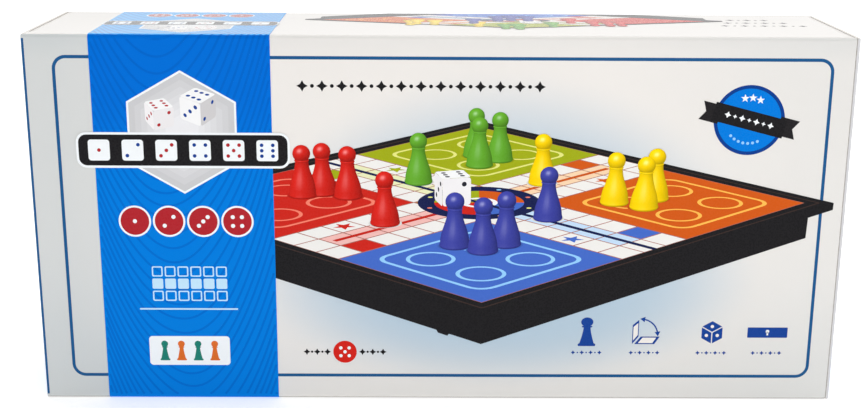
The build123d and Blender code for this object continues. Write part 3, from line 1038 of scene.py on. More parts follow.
@dataclass
class Drawing:
    """Closed shapes with their tints, before they are laid on a panel.

    A vertex has a place in the drawing and a lift: how far its ink stands above what the
    view itself gives it.
    """

    points: list[Vector] = field(default_factory=list)
    lifts: list[float] = field(default_factory=list)
    tints: list[Tint] = field(default_factory=list)
    faces: list[tuple[int, ...]] = field(default_factory=list)

    def add(self, point: Iterable[float], lift: float, tint: Tint) -> int:
        """Adds a vertex.

        Args:
            point: Its place in the drawing.
            lift: Its ink's lift.
            tint: Its colour.

        Returns:
            Its number.
        """
        self.points.append(Vector(point))
        self.lifts.append(lift)
        self.tints.append(tint)
        return len(self.points) - 1

    def plate(self, loop: Loop, top: float, tint: Tint) -> None:
        """Adds a flat closed plate.

        Args:
            loop: Its outline.
            top: Lift of its upper face.
            tint: Its colour.
        """
        corners = [Vector((x, y, 0)) for x, y in loop]
        first, count = len(self.points), len(corners)
        for lift in (top, top - PLATE_DEPTH):
            for corner in corners:
                self.add(corner, lift, tint)
        for a, b, c in tessellate_polygon([corners]):
            turn = (corners[b] - corners[a]).cross(corners[c] - corners[a]).z
            if abs(turn) < 1e-9:
                continue
            if turn < 0:
                b, c = c, b
            self.faces.append((first + a, first + b, first + c))
            self.faces.append((first + count + a, first + count + c, first + count + b))
        for k in range(count):
            here, after = first + k, first + (k + 1) % count
            self.faces.append((here, here + count, after + count, after))

    def slab(
        self, outline: list[Iterable[float]], lift: float, tint: Tint, depth: float = PLATE_DEPTH
    ) -> None:
        """Adds a closed plate that may stand or lean.

        Args:
            outline: Its corners in space.
            lift: Lift of its upper face.
            tint: Its colour.
            depth: How far its lower face lies under that.
        """
        front = [self.add(point, lift, tint) for point in outline]
        back = [self.add(point, lift - depth, tint) for point in outline]
        self.faces += [tuple(front), tuple(reversed(back))]
        for k in range(len(front)):
            m = (k + 1) % len(front)
            self.faces.append((front[m], front[k], back[k], back[m]))

    def ring(self, outer: Loop, inner: Loop, top: float, tint: Tint) -> None:
        """Adds the flat closed strip between two outlines of as many points.

        Args:
            outer: The outer outline.
            inner: The inner one.
            top: Lift of its upper face.
            tint: Its colour.
        """
        count, first = len(outer), len(self.points)
        for lift in (top, top - PLATE_DEPTH):
            for loop in (outer, inner):
                for x, y in loop:
                    self.add((x, y, 0), lift, tint)
        for k in range(count):
            m = (k + 1) % count
            o, i, ob, ib = (first + j * count for j in range(4))
            self.faces.append((o + k, o + m, i + m, i + k))
            self.faces.append((ob + m, ob + k, ib + k, ib + m))
            self.faces.append((o + m, o + k, ob + k, ob + m))
            self.faces.append((i + k, i + m, ib + m, ib + k))

    def take(self, mesh: bpy.types.Mesh, offset: Vector, turn: float, top: float, tint: Tint) -> None:
        """Adds a baked flat mesh, whose upper half is its upper face.

        Args:
            mesh: The mesh.
            offset: Where its origin goes.
            turn: Degrees that it is turned.
            top: Lift of its upper face.
            tint: Its colour.
        """
        first = len(self.points)
        spin = Matrix.Rotation(math.radians(turn), 4, "Z")
        for vertex in mesh.vertices:
            x, y, z = spin @ vertex.co + offset
            self.add((x, y, 0), top if vertex.co.z > 0 else top - PLATE_DEPTH, tint)
        self.faces += [tuple(first + v for v in face.vertices) for face in mesh.polygons]

    def lathe(
        self, profile: Loop, foot: Vector, lift: float, shade: Callable[[Vector], Tint], sides: int = 28
    ) -> None:
        """Adds a turned solid.

        Args:
            profile: (radius, height) points from its foot to its crown.
            foot: Where the middle of its foot stands.
            lift: Its ink's lift.
            shade: Gives a tint from a surface direction.
            sides: Points around it.
        """
        base = self.add(foot, lift, shade(Vector((0, 0, -1))))
        rings = []
        for k, (r, z) in enumerate(profile):
            before, after = profile[max(k - 1, 0)], profile[min(k + 1, len(profile) - 1)]
            slope = Vector((after[1] - before[1], before[0] - after[0])).normalized()
            ring = []
            for s in range(sides):
                a = 2 * math.pi * s / sides
                out = Vector((math.cos(a), math.sin(a), 0))
                normal = out * slope.x + Vector((0, 0, slope.y))
                ring.append(self.add(foot + out * r + Vector((0, 0, z)), lift, shade(normal)))
            rings.append(ring)
        crown = profile[-1][1] + profile[-1][0] * 0.15
        tip = self.add(foot + Vector((0, 0, crown)), lift, shade(Vector((0, 0, 1))))
        for low, high in zip(rings, rings[1:]):
            for s in range(sides):
                t = (s + 1) % sides
                self.faces.append((low[s], low[t], high[t], high[s]))
        for s in range(sides):
            t = (s + 1) % sides
            self.faces.append((base, rings[0][t], rings[0][s]))
            self.faces.append((tip, rings[-1][s], rings[-1][t]))

    def mesh(self, name: str, lay: Callable[[Vector, float], Vector]) -> bpy.types.Mesh:
        """Lays the drawing down.

        Args:
            name: The mesh's name.
            lay: Gives the final place of a drawn point and its lift.

        Returns:
            The mesh, closed and facing outwards, with its tints.
        """
        mesh = bpy.data.meshes.new(name)
        mesh.from_pydata([lay(p, h) for p, h in zip(self.points, self.lifts)], [], self.faces)
        store = mesh.color_attributes.new(TINTS, "FLOAT_COLOR", "POINT")
        store.data.foreach_set("color", [c for tint in self.tints for c in (*tint, 1.0)])
        shape = bmesh.new()
        shape.from_mesh(mesh)
        bmesh.ops.recalc_face_normals(shape, faces=shape.faces)
        shape.to_mesh(mesh)
        shape.free()
        return mesh

    def piece(
        self, name: str, lay: Callable[[Vector, float], Vector], material: bpy.types.Material
    ) -> bpy.types.Object:
        """Lays the drawing down as a finished piece, as mesh does, in this material."""
        return finish_piece(self.mesh(name, lay), name, material)


@dataclass(frozen=True)
class PrintLamp:
    """The light that a printed picture was drawn under, as its viewer sees it."""

    turn: float = 45.6
    towards: Vector = field(default_factory=lambda: Vector((-0.3, -0.62, 0.72)).normalized())
    eye: Vector = field(default_factory=lambda: Vector((0, -0.96, 0.28)).normalized())
    ambient: float = 0.5
    gloss: float = 0.3

    def seen(self, normal: Vector) -> Vector:
        """Returns a direction of the drawing as the viewer has it: across, away and up."""
        c, s = math.cos(math.radians(self.turn)), math.sin(math.radians(self.turn))
        return Vector((normal.x * c - normal.y * s, normal.x * s + normal.y * c, normal.z))

    def shade(self, tint: Tint) -> Callable[[Vector], Tint]:
        """Lights one colour.

        Args:
            tint: The colour.

        Returns:
            A function from a surface direction to the lit colour.
        """
        half = (self.towards + self.eye).normalized()

        def lit(direction: Vector) -> Tint:
            """Lights a surface.

            Args:
                direction: Where it faces.

            Returns:
                Its lit colour.
            """
            normal = self.seen(direction)
            soft = max(0.0, normal.dot(self.towards)) * 0.7
            bright = self.gloss * max(0.0, normal.dot(half)) ** 40
            return tuple(min(1.0, c * (self.ambient + soft) + bright) for c in tint)

        return lit


@dataclass(frozen=True)
class Viewpoint:
    """How a drawing of solids is seen: in perspective, from the near corner of the board.

    Depth is kept as a very low relief, so that what stands in front prints over what is
    behind it.
    """

    turn: float = 45.6
    tilt: float = 15.9
    distance: float = 1022.0
    focal: float = 690.0
    centre: Spot = (13.2, 71.8)
    relief: float = 0.00017
    base: float = 0.075

    def look(self, point: Vector, lift: float) -> tuple[float, float, float]:
        """Projects a point.

        Args:
            point: Its place in the drawing.
            lift: Its ink's own lift.

        Returns:
            Its place on the panel, across and up, and the height of its ink.
        """
        c, s = math.cos(math.radians(self.turn)), math.sin(math.radians(self.turn))
        e, up = math.cos(math.radians(self.tilt)), math.sin(math.radians(self.tilt))
        across = point.x * c - point.y * s
        away = point.x * s + point.y * c
        depth = away * e - point.z * up
        rise = away * up + point.z * e
        share = self.focal / (self.distance + depth)
        level = self.base - depth * self.relief + lift
        return self.centre[0] + share * across, self.centre[1] + share * rise, level


@dataclass(frozen=True)
class Placing:
    """How a drawing goes on a panel: its origin is laid at a place there, at this scale and level."""

    skin: Skin
    panel: Panel
    origin: Spot = (0.0, 0.0)
    place: Spot = (0.0, 0.0)
    scale: Spot = (1.0, 1.0)
    level: float = 0.0

    def put(self, x: float, y: float, lift: float) -> Vector:
        """Returns where a spot of the drawing prints, in metres."""
        u, v = (at + share * (p - o) for p, o, at, share in zip((x, y), self.origin, self.place, self.scale))
        return self.skin.place(self.panel, u, v, self.level + lift)

    def flat(self, point: Vector, lift: float) -> Vector:
        """Returns where a point of a flat drawing prints."""
        return self.put(point.x, point.y, lift)

    def seen(self, view: Viewpoint) -> Callable[[Vector, float], Vector]:
        """Returns the way to print a drawing of solids as they are seen."""
        return lambda point, lift: self.put(*view.look(point, lift))


# ---------------------------------------------------------------------- the ludo board art


@dataclass
class TrackCells:
    """Rows of square cells by a rule, for the four arms of the board."""

    pitch: float
    gap: float = 0.9

    def rule(self) -> RuleBook:
        """Builds the tree: a grid of points, each with one flat cell.

        Returns:
            The tree.
        """
        book = RuleBook("track_cells")
        columns, rows = book.input("Columns", "Int"), book.input("Rows", "Int")
        pitch, cell = book.input("Pitch"), book.input("Cell")
        material = book.input("Material", "Material")
        spread = {"Size X": (columns - 1) * pitch, "Size Y": (rows - 1) * pitch}
        counts = {"Vertices X": columns, "Vertices Y": rows}
        points = book.node("GeometryNodeMeshGrid", inputs={**spread, **counts})
        size = book.node("ShaderNodeCombineXYZ", inputs={0: cell, 1: cell, 2: 0.2})
        block = book.node("GeometryNodeMeshCube", inputs={"Size": size.outputs[0]})
        cells = {"Points": points.outputs[0], "Instance": block.outputs[0]}
        placed = book.node("GeometryNodeInstanceOnPoints", inputs=cells)
        book.close(placed.outputs[0], material)
        return book

    def arm(self, material: bpy.types.Material) -> bpy.types.Mesh:
        """Returns one arm's cells, three across and six along, centred on the origin."""
        values = {"Columns": 3, "Rows": 6, "Pitch": self.pitch, "Cell": self.pitch - self.gap}
        return self.rule().bake("arm_cells", {**values, "Material": material})


@dataclass
class BoardArt:
    """The traditional cross-and-yards board, drawn in its own plane, and its pieces."""

    side: float = 253.0
    border: float = 10.5
    thickness: float = 19.3
    lip: float = 3.8
    lip_overhang: float = 8.5
    rim_line: float = 1.1
    seam: float = 1.6
    yard_frame: float = 2.3  # squares from a yard's middle to its frame
    yard_line: float = 2.2
    spot_radius: float = 11.5
    spot_line: float = 1.9
    cell_gap: float = 0.45
    step: float = 0.0042  # from one ink of the playing surface to the next
    shape: PawnShape = field(
        default_factory=lambda: PawnShape(
            foot_radius=7.5, foot_height=2.0, skirt_radius=7.2, waist_radius=3.4, waist_height=19.4,
            collar_radius=3.8, collar_height=0.7, head_radius=4.6, flare=0.95, bell=0.9,
        )
    )
    piece_height: float = 27.0
    lamp: PrintLamp = field(default_factory=PrintLamp)

    CORNERS = ((-1, -1), (1, -1), (1, 1), (-1, 1))
    COLOURS = (  # a yard's ground, its pieces, its lines and its corner
        (Hue.YARD_BLUE, Hue.BLUE, Hue.LINE_BLUE, (-1, -1)),
        (Hue.YARD_ORANGE, Hue.YELLOW, Hue.LINE_ORANGE, (1, -1)),
        (Hue.YARD_GREEN, Hue.GREEN, Hue.LINE_GREEN, (1, 1)),
        (Hue.YARD_RED, Hue.RED, Hue.LINE_RED, (-1, 1)),
    )

    @property
    def pitch(self) -> float:
        """Side of one of the fifteen squares along the board."""
        return (self.side - 2 * self.border) / BOARD_SQUARES

    def square(self, column: float, row: float, inset: float = 0.0, span: float = 1.0) -> Loop:
        """Returns a square by its column and row from the middle one."""
        half = self.pitch * span / 2 - inset
        return [(column * self.pitch + x * half, row * self.pitch + y * half) for x, y in self.CORNERS]

    def surface(self, art: Drawing, material: bpy.types.Material) -> None:
        """Draws the playing surface: yards, track, home columns and middle.

        Args:
            art: The drawing.
            material: Material that the cells are baked with.
        """
        step, pitch = self.step, self.pitch
        art.plate(self.square(0, 0, 0, BOARD_SQUARES), step, Hue.CELL_LINE.tint)
        arm = TrackCells(pitch).arm(material)
        for quarter in range(4):
            spin = Matrix.Rotation(math.radians(90 * quarter), 4, "Z")
            middle_of_arm = spin @ Vector((0, YARD_MIDDLE * pitch, 0))
            art.take(arm, middle_of_arm, 90 * quarter, 2 * step, Hue.CELL.tint)
        for yard, _piece, line, (sx, sy) in self.COLOURS:
            self.yard(art, yard, line.tint, sx * YARD_MIDDLE, sy * YARD_MIDDLE)
        self.homes(art)
        bpy.data.meshes.remove(arm)

    def yard(self, art: Drawing, hue: Hue, pale: Tint, column: float, row: float) -> None:
        """Draws one corner yard with its frame and its four spots.

        Args:
            art: The drawing.
            hue: Its ground.
            pale: Colour of its lines.
            column: Column of its middle.
            row: Row of its middle.
        """
        step, pitch = self.step, self.pitch
        art.plate(self.square(column, row, 0.5, 6), 2 * step, hue.tint)
        cx, cy, half = column * pitch, row * pitch, self.yard_frame * pitch
        art.ring(tile(cx, cy, half, 9), tile(cx, cy, half - self.yard_line, 7), 3 * step, pale)
        inner = self.spot_radius - self.spot_line
        for dx in (-SPOT_OFFSET, SPOT_OFFSET):
            for dy in (-SPOT_OFFSET, SPOT_OFFSET):
                spot = (cx + dx * pitch, cy + dy * pitch)
                art.ring(circle(*spot, self.spot_radius), circle(*spot, inner), 3 * step, pale)

    def homes(self, art: Drawing) -> None:
        """Draws the coloured home columns, start cells, stars and the middle.

        Args:
            art: The drawing.
        """
        step, pitch = self.step, self.pitch
        arms = ((-1, 0, 3), (0, -1, 0), (1, 0, 1), (0, 1, 2))
        for ax, ay, owner in arms:
            strong, _piece, pale, _corner = self.COLOURS[owner]
            home = tuple(c + (0.86 - c) * 0.45 for c in pale.tint)
            for k in range(2, 7):
                art.plate(self.square(ax * k, ay * k, self.cell_gap), 3 * step, home)
            low, high, wide = 1.6 * pitch, 6.3 * pitch, 0.1 * pitch
            line = [(low, -wide), (high, -wide), (high, wide), (low, wide)]
            line = [(ax * u - ay * v, ay * u + ax * v) for u, v in line]
            art.plate(line, 3.5 * step, tuple(c * 0.9 for c in strong.tint))
            art.plate(self.square(ax * 6 - ay, ay * 6 + ax, self.cell_gap), 3 * step, strong.tint)
            safe = (ax * 5 + ay) * pitch, (ay * 5 - ax) * pitch
            art.plate(star(*safe, pitch * 0.38), 3 * step, strong.tint)
            reach = 1.5 * pitch - 0.6
            corner = [(ax + ay, ay - ax), (ax - ay, ay + ax), (0, 0)]
            art.plate([(reach * x, reach * y) for x, y in corner], 3 * step, strong.tint)
        art.ring(circle(0, 0, pitch * 2.0, 64), circle(0, 0, pitch * 1.46, 64), 4 * step, Hue.NAVY.tint)
        for k in range(8):
            dot = circle(*polar(0, 0, 1.73 * pitch, 22.5 + 45 * k), 1.3, 12)
            art.plate(dot, 4.4 * step, self.COLOURS[k % 4][2].tint)
        art.ring(circle(0, 0, pitch * 0.6), circle(0, 0, pitch * 0.44), 4 * step, Hue.INK_WHITE.tint)

    def tray(self, art: Drawing) -> None:
        """Draws the black board under the surface, with its two seen sides and its fold.

        Args:
            art: The drawing.
        """
        half, step, black = self.side / 2, self.step, Hue.BLACK.tint
        foot, under = half - self.lip_overhang, -self.thickness
        bands = ((foot, under, -self.lip, -3 * step), (half, -self.lip, 0.0, -step))
        for a, b in (((-1, -1), (1, -1)), ((-1, 1), (-1, -1))):
            for reach, low, high, lift in bands:
                ends = [(x * reach, y * reach) for x, y in (a, b, b, a)]
                corners = [(*end, z) for end, z in zip(ends, (low, low, high, high))]
                art.slab(corners, lift, black)
        art.plate(self.square(0, 0, -self.border, BOARD_SQUARES), 0, black)
        nub = ((-91, under - 1.2), (-97, under - 1.2), (-98, under), (-90, under))
        art.slab([(-foot, y, z) for y, z in nub], -3 * step, black)
        edge = half - 0.45 * self.border
        art.ring(tile(0, 0, edge, 1), tile(0, 0, edge - self.rim_line, 1), 0.5 * step, Hue.RIM_BROWN.tint)
        wide, inside = self.seam, half - self.border
        seam = [(-wide, -inside), (wide, -inside), (wide, inside), (-wide, inside)]
        art.plate(seam, 5 * step, Hue.NAVY.tint)

    def pieces(self, art: Drawing) -> None:
        """Draws each colour's four pieces, three in the yard and one on its way, and the die.

        Args:
            art: The drawing.
        """
        pitch, lift = self.pitch, 6 * self.step
        spots = (
            ((-4.1, -3.0), (-3.9, -4.0), (-2.9, -4.0), (0.15, -2.9)),
            ((3.05, -3.15), (3.3, -4.2), (4.35, -3.75), (3.2, 0.2)),
            ((3.4, 3.35), (4.45, 3.4), (4.3, 4.4), (0.35, 3.2)),
            ((-3.5, 4.65), (-2.85, 4.4), (-2.55, 3.5), (-3.9, 0.3)),
        )
        for (yard, hue, _line, _corner), places in zip(self.COLOURS, spots):
            for column, row in places:
                foot = Vector((column * pitch, row * pitch, 0))
                self.contact(art, foot, Hue.CELL if (column, row) == places[-1] else yard)
                art.lathe(self.shape.profile(self.piece_height), foot, lift, self.lamp.shade(hue.tint))
        DieDrawing(14.8).draw(art, Vector((-0.56 * pitch, 0.66 * pitch, 0)), -29, lift, self.lamp)

    def contact(self, art: Drawing, foot: Vector, under: Hue) -> None:
        """Draws the soft dark mark where a piece stands.

        Args:
            art: The drawing.
            foot: Where it stands.
            under: The colour under it.
        """
        for radius, dark, layer in ((8.2, 0.85, 4.5), (7.5, 0.65, 4.8)):
            tint = tuple(c * dark for c in under.tint)
            art.plate(circle(foot.x + 0.6, foot.y + 0.6, radius, 24), layer * self.step, tint)


@dataclass
class DieDrawing:
    """A small die drawn as a solid, with pips on the faces that show."""

    size: float
    pips: Tint = (0.02, 0.02, 0.03)
    face_depth: float = 0.006
    pip_lift: float = 0.002
    pip_gap: float = 0.52
    pip_radius: float = 0.17

    FACES = (("x", -1, 3), ("y", -1, 2), ("z", 1, 6), ("x", 1, 4), ("y", 1, 5))
    SPOTS = {
        1: ((0, 0),), 2: ((-1, -1), (1, 1)), 3: ((-1, -1), (0, 0), (1, 1)),
        4: ((-1, -1), (1, -1), (1, 1), (-1, 1)), 5: ((-1, -1), (1, -1), (1, 1), (-1, 1), (0, 0)),
        6: ((-1, -1), (-1, 0), (-1, 1), (1, -1), (1, 0), (1, 1)),
    }

    def draw(self, art: Drawing, foot: Vector, turn: float, lift: float, lamp: PrintLamp) -> None:
        """Adds the die.

        Args:
            art: The drawing.
            foot: Where the middle of its lower face stands.
            turn: Degrees that it is turned on the board.
            lift: Its ink's lift.
            lamp: The light that it is drawn under.
        """
        half = self.size / 2
        spin = Matrix.Rotation(math.radians(turn), 3, "Z")
        centre = foot + Vector((0, 0, half))
        for axis, sign, count in self.FACES:
            normal = Vector([sign * (axis == a) for a in "xyz"])
            if lamp.seen(spin @ normal).dot(lamp.eye) < 0.05:
                continue
            across = Vector((0, 1, 0)) if axis == "x" else Vector((1, 0, 0))
            along = normal.cross(across)
            tone = lamp.shade((0.94, 0.92, 0.93))(spin @ normal)
            tone = tuple(min(0.92, c * 1.1) for c in tone)

            def spot(u: float, v: float) -> Vector:
                """Returns a point of this face of the die."""
                return centre + spin @ (normal * half + across * u * half + along * v * half)

            face = tile(0, 0, 0.99, 0.22, 4)
            art.slab([spot(u, v) for u, v in face], lift, tone, self.face_depth)
            for du, dv in self.SPOTS[count]:
                pip = circle(du * self.pip_gap, dv * self.pip_gap, self.pip_radius, 14)
                art.slab([spot(u, v) for u, v in pip], lift + self.pip_lift, self.pips, self.face_depth)


# -------------------------------------------------------------------- printed sub-assemblies


@dataclass
class CartonBoard:
    """The printed sleeve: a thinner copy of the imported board, with room for the inks."""

    node: bpy.types.Object
    skin: Skin
    end_growth: float = 0.09

    def build(self) -> bpy.types.Object:
        """Copies the sleeve, merges it and draws its outer faces in.

        Returns:
            The board's piece.
        """
        mesh = self.node.data.copy()
        mesh.name = "carton_board"
        shape = bmesh.new()
        shape.from_mesh(mesh)
        bmesh.ops.remove_doubles(shape, verts=shape.verts, dist=0.002 * MM)
        skin = self.skin
        share = 1 - skin.ink_room / skin.board
        for vertex in shape.verts:
            vertex.co.x = self.drawn_out(vertex.co.x)
            vertex.co.y = self.drawn_in(vertex.co.y, (skin.side_y - skin.board) * MM, share)
            vertex.co.z = self.drawn_in(vertex.co.z, (skin.top_z - skin.board) * MM, share)
        shape.normal_update()
        shape.to_mesh(mesh)
        shape.free()
        for name in [a.name for a in mesh.attributes if a.name == "custom_normal"]:
            mesh.attributes.remove(mesh.attributes[name])
        mesh.shade_smooth()
        mesh.set_sharp_from_angle(angle=math.radians(30))
        finish = CoatedBoard(skin.side_y, skin.top_z, skin.board)
        piece = finish_piece(mesh, "carton_board", finish.material())
        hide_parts("carton_sleeve")
        return piece

    def drawn_out(self, value: float) -> float:
        """Returns an X with a panel's end moved towards the flap that it meets."""
        beyond = self.skin.half_length - abs(value) / MM
        return value + math.copysign(self.end_growth * MM, value) if 1.0 < beyond < 4.0 else value

    @staticmethod
    def drawn_in(value: float, inner: float, share: float) -> float:
        """Returns a coordinate with what lies beyond the inner face made thinner."""
        beyond = abs(value) - inner
        return value if beyond <= 0 else math.copysign(inner + beyond * share, value)


@dataclass
class BandPrint:
    """The blue band round the panels, with its wavy contour lines."""

    skin: Skin
    left: float = -116.0
    right: float = -56.4
    level: float = 0.14
    line_pitch: float = 4.3
    line_width: float = 0.75
    line_step: float = 0.5
    line_rise: float = 0.012
    margin: float = 1.2
    lines: int = 90
    columns: int = 240
    sag: float = 46.0
    spread: float = 0.4
    lowest: float = 0.32
    wander: float = 14.0
    wander_scale: float = 0.022
    ribbon_height: float = 0.05

    def build(self) -> None:
        """Lays the band and its lines."""
        self.ground()
        self.contours()

    def ground(self) -> None:
        """Makes the band as one closed strip that follows the creases."""
        skin = self.skin
        upright, turn = skin.top_z - 2 * skin.crease, skin.turn
        stops = [-turn * share for share in (0.88, 0.7, 0.5, 0.25)]
        stops += [0.0] + [upright + turn * k / 6 for k in range(7)]
        stops += [skin.reach - s for s in reversed(stops)]
        art, low = Drawing(), -PLATE_DEPTH
        section = ((self.left, self.level), (self.right, self.level), (self.right, low), (self.left, low))
        rows = [[art.add((x, along, 0), lift, Hue.BAND.tint) for x, lift in section] for along in stops]
        for row, after in zip(rows, rows[1:]):
            for k in range(4):
                m = (k + 1) % 4
                art.faces.append((row[k], row[m], after[m], after[k]))
        art.faces += [tuple(rows[0]), tuple(reversed(rows[-1]))]
        ink = BandInk("band_ink", skin.top_z).material()
        art.piece("blue_band", lambda p, lift: skin.wrap(p.x, p.y, lift), ink)

    def rule(self) -> RuleBook:
        """Builds the tree: rows of a grid bent to nested arcs, each a thin ribbon.

        Returns:
            The tree.
        """
        book = RuleBook("band_contours")
        lines, columns = book.input("Lines", "Int"), book.input("Columns", "Int")
        width, pitch, ribbon = book.input("Width"), book.input("Pitch"), book.input("Ribbon")
        sag, spread, reach = book.input("Sag"), book.input("Spread"), book.input("Reach")
        step = book.input("Step")
        material = book.input("Material", "Material")
        sizes = {"Size X": width, "Size Y": (lines - 1) * pitch, "Vertices X": columns, "Vertices Y": lines}
        grid = book.node("GeometryNodeMeshGrid", inputs=sizes)
        here = book.node("GeometryNodeInputPosition").outputs[0]
        x, y, _z = book.parts(here)
        noise = {"Vector": here, "Scale": self.wander_scale, "Detail": 1.0}
        wander = (book.value("ShaderNodeTexNoise", 0, None, noise) - 0.5) * self.wander
        side = (x / width) * 2 + self.lowest
        bent = y * (1 + spread * (x / width + 0.5)) + side * side * sag + wander
        target = book.node("ShaderNodeCombineXYZ", inputs={0: x, 1: bent, 2: 0.0})
        ends = book.node("GeometryNodeInputMeshEdgeVertices").outputs
        first, second = (book.parts(ends[name])[1] for name in ("Position 1", "Position 2"))
        kept = book.node(
            "GeometryNodeDeleteGeometry", {"domain": "EDGE", "mode": "EDGE_FACE"},
            {"Geometry": grid.outputs[0], "Selection": abs(first - second) > 0.001},
        )
        placing = {"Geometry": kept.outputs[0], "Position": target.outputs[0]}
        shaped = book.node("GeometryNodeSetPosition", inputs=placing)
        height = book.parts(book.node("GeometryNodeInputPosition").outputs[0])[1]
        trimmed = book.node(
            "GeometryNodeDeleteGeometry", {"domain": "POINT", "mode": "ALL"},
            {"Geometry": shaped.outputs[0], "Selection": abs(height) > reach},
        )
        curve = book.node("GeometryNodeMeshToCurve", inputs={0: trimmed.outputs[0]})
        spacing = {"Curve": curve.outputs[0], "Length": step}
        even = book.node("GeometryNodeResampleCurve", {"mode": "LENGTH"}, spacing)
        level = book.node("GeometryNodeSetCurveNormal", {"mode": "Z_UP"}, {"Curve": even.outputs[0]})
        flat = {"Width": ribbon, "Height": self.ribbon_height}
        profile = book.node("GeometryNodeCurvePrimitiveQuadrilateral", inputs=flat)
        swept = {"Curve": level.outputs[0], "Profile Curve": profile.outputs[0], "Fill Caps": True}
        sweep = book.node("GeometryNodeCurveToMesh", inputs=swept)
        book.close(sweep.outputs[0], material)
        return book

    def contours(self) -> None:
        """Bakes the lines and wraps them over the band."""
        skin, width = self.skin, self.right - self.left
        ink = BandInk("band_line_ink", skin.top_z, 0.5).material()
        mesh = self.rule().bake("band_contours", {
            "Lines": self.lines, "Columns": self.columns, "Width": width - self.margin,
            "Pitch": self.line_pitch, "Ribbon": self.line_width, "Step": self.line_step,
            "Sag": self.sag, "Spread": self.spread, "Reach": skin.reach / 2, "Material": ink,
        })
        mesh.shade_flat()
        centre = (self.left + self.right) / 2
        for vertex in mesh.vertices:
            x, y, z = vertex.co
            level = self.level + math.copysign(self.line_rise, z)
            vertex.co = skin.wrap(centre + x, skin.reach / 2 + y, level)
        finish_piece(mesh, "band_contours", ink)


@dataclass
class FramePrint:
    """The thin frame line of the front and back panels."""

    skin: Skin
    left: float = -128.3
    right: float = 130.1
    low: float = 8.3
    high: float = 121.4
    width: float = 1.1
    corner: float = 4.6
    level: float = ON_BOARD
    strip_in: float = 0.15
    strip_width: float = 0.75

    def build(self) -> None:
        """Lays the line on both panels."""
        ink = PrintInk("frame_ink", Hue.FRAME).material()
        for panel in (Panel.FRONT, Panel.BACK):
            flip = 1 if panel is Panel.FRONT else -1
            left, right = sorted((flip * self.left, flip * self.right))
            art, bare = Drawing(), (1.0, 1.0, 1.0)
            w, inner = self.width, self.corner - self.width
            outline = rounded(left, self.low, right, self.high, self.corner, 8)
            inline = rounded(left + w, self.low + w, right - w, self.high - w, inner, 8)
            art.ring(outline, inline, self.level, bare)
            fold = self.strip_in - self.skin.half_length
            foot, head = self.skin.crease, self.skin.top_z - self.skin.crease
            strip = rounded(fold, foot, fold + self.strip_width, head, 0.05, 1)
            art.plate(strip, self.level, bare)
            art.piece(f"frame_line_{panel.value}", Placing(self.skin, panel).flat, ink)


@dataclass
class PanelPicture:
    """The picture of the open board on the front, a smaller one on the top and a plan on the back."""

    skin: Skin
    art: BoardArt = field(default_factory=BoardArt)
    top_share: float = 0.616
    top_centre: Spot = (26.3, 39.8)
    top_stretch: float = 1.17
    top_coat: float = 0.62
    plan_side: float = 96.0
    plan_centre: Spot = (-46.0, 65.0)
    plan_level: float = 0.06

    def build(self) -> None:
        """Draws the scene once for each panel."""
        ink = PictureInk().material()
        drawn = Drawing()
        self.art.tray(drawn)
        self.art.surface(drawn, ink)
        self.art.pieces(drawn)
        skin, view = self.skin, Viewpoint()
        drawn.piece("picture_front", Placing(skin, Panel.FRONT).seen(view), ink)
        scale = (-self.top_share, -self.top_share * self.top_stretch)  # the other way up
        top = Placing(skin, Panel.TOP, view.centre, self.top_centre, scale)
        smaller = drawn.mesh("picture_top", top.seen(view))
        self.trim(smaller, (skin.side_y - skin.crease) * MM)
        glossy = PictureInk("top_picture_ink", self.top_coat).material()
        finish_piece(smaller, "picture_top", glossy)
        share = self.plan_side / self.art.side
        plan = Placing(skin, Panel.BACK, (0, 0), self.plan_centre, (share, share), self.plan_level)
        board = Drawing()
        board.plate(self.art.square(0, 0, -self.art.border, BOARD_SQUARES), 0, Hue.BLACK.tint)
        self.art.surface(board, ink)
        board.piece("picture_back", plan.flat, ink)

    @staticmethod
    def trim(mesh: bpy.types.Mesh, limit: float) -> None:
        """Cuts off what lies past the rear crease, and closes the cuts.

        Args:
            mesh: The picture's mesh.
            limit: Y of the cut, in metres.
        """
        shape = bmesh.new()
        shape.from_mesh(mesh)
        parts = [*shape.verts, *shape.edges, *shape.faces]
        plane = {"plane_co": (0, limit, 0), "plane_no": (0, 1, 0), "clear_outer": True}
        bmesh.ops.bisect_plane(shape, geom=parts, dist=1e-8, **plane)
        open_edges = [edge for edge in shape.edges if edge.is_boundary]
        bmesh.ops.holes_fill(shape, edges=open_edges, sides=0)
        bmesh.ops.recalc_face_normals(shape, faces=shape.faces)
        shape.to_mesh(mesh)
        shape.free()


class Icon(Enum):
    """The four small pictures."""

    PAWN = "pawn"
    HALF_OPEN_BOARD = "half-open board"
    DIE = "die"
    SHUT_CASE = "shut case"


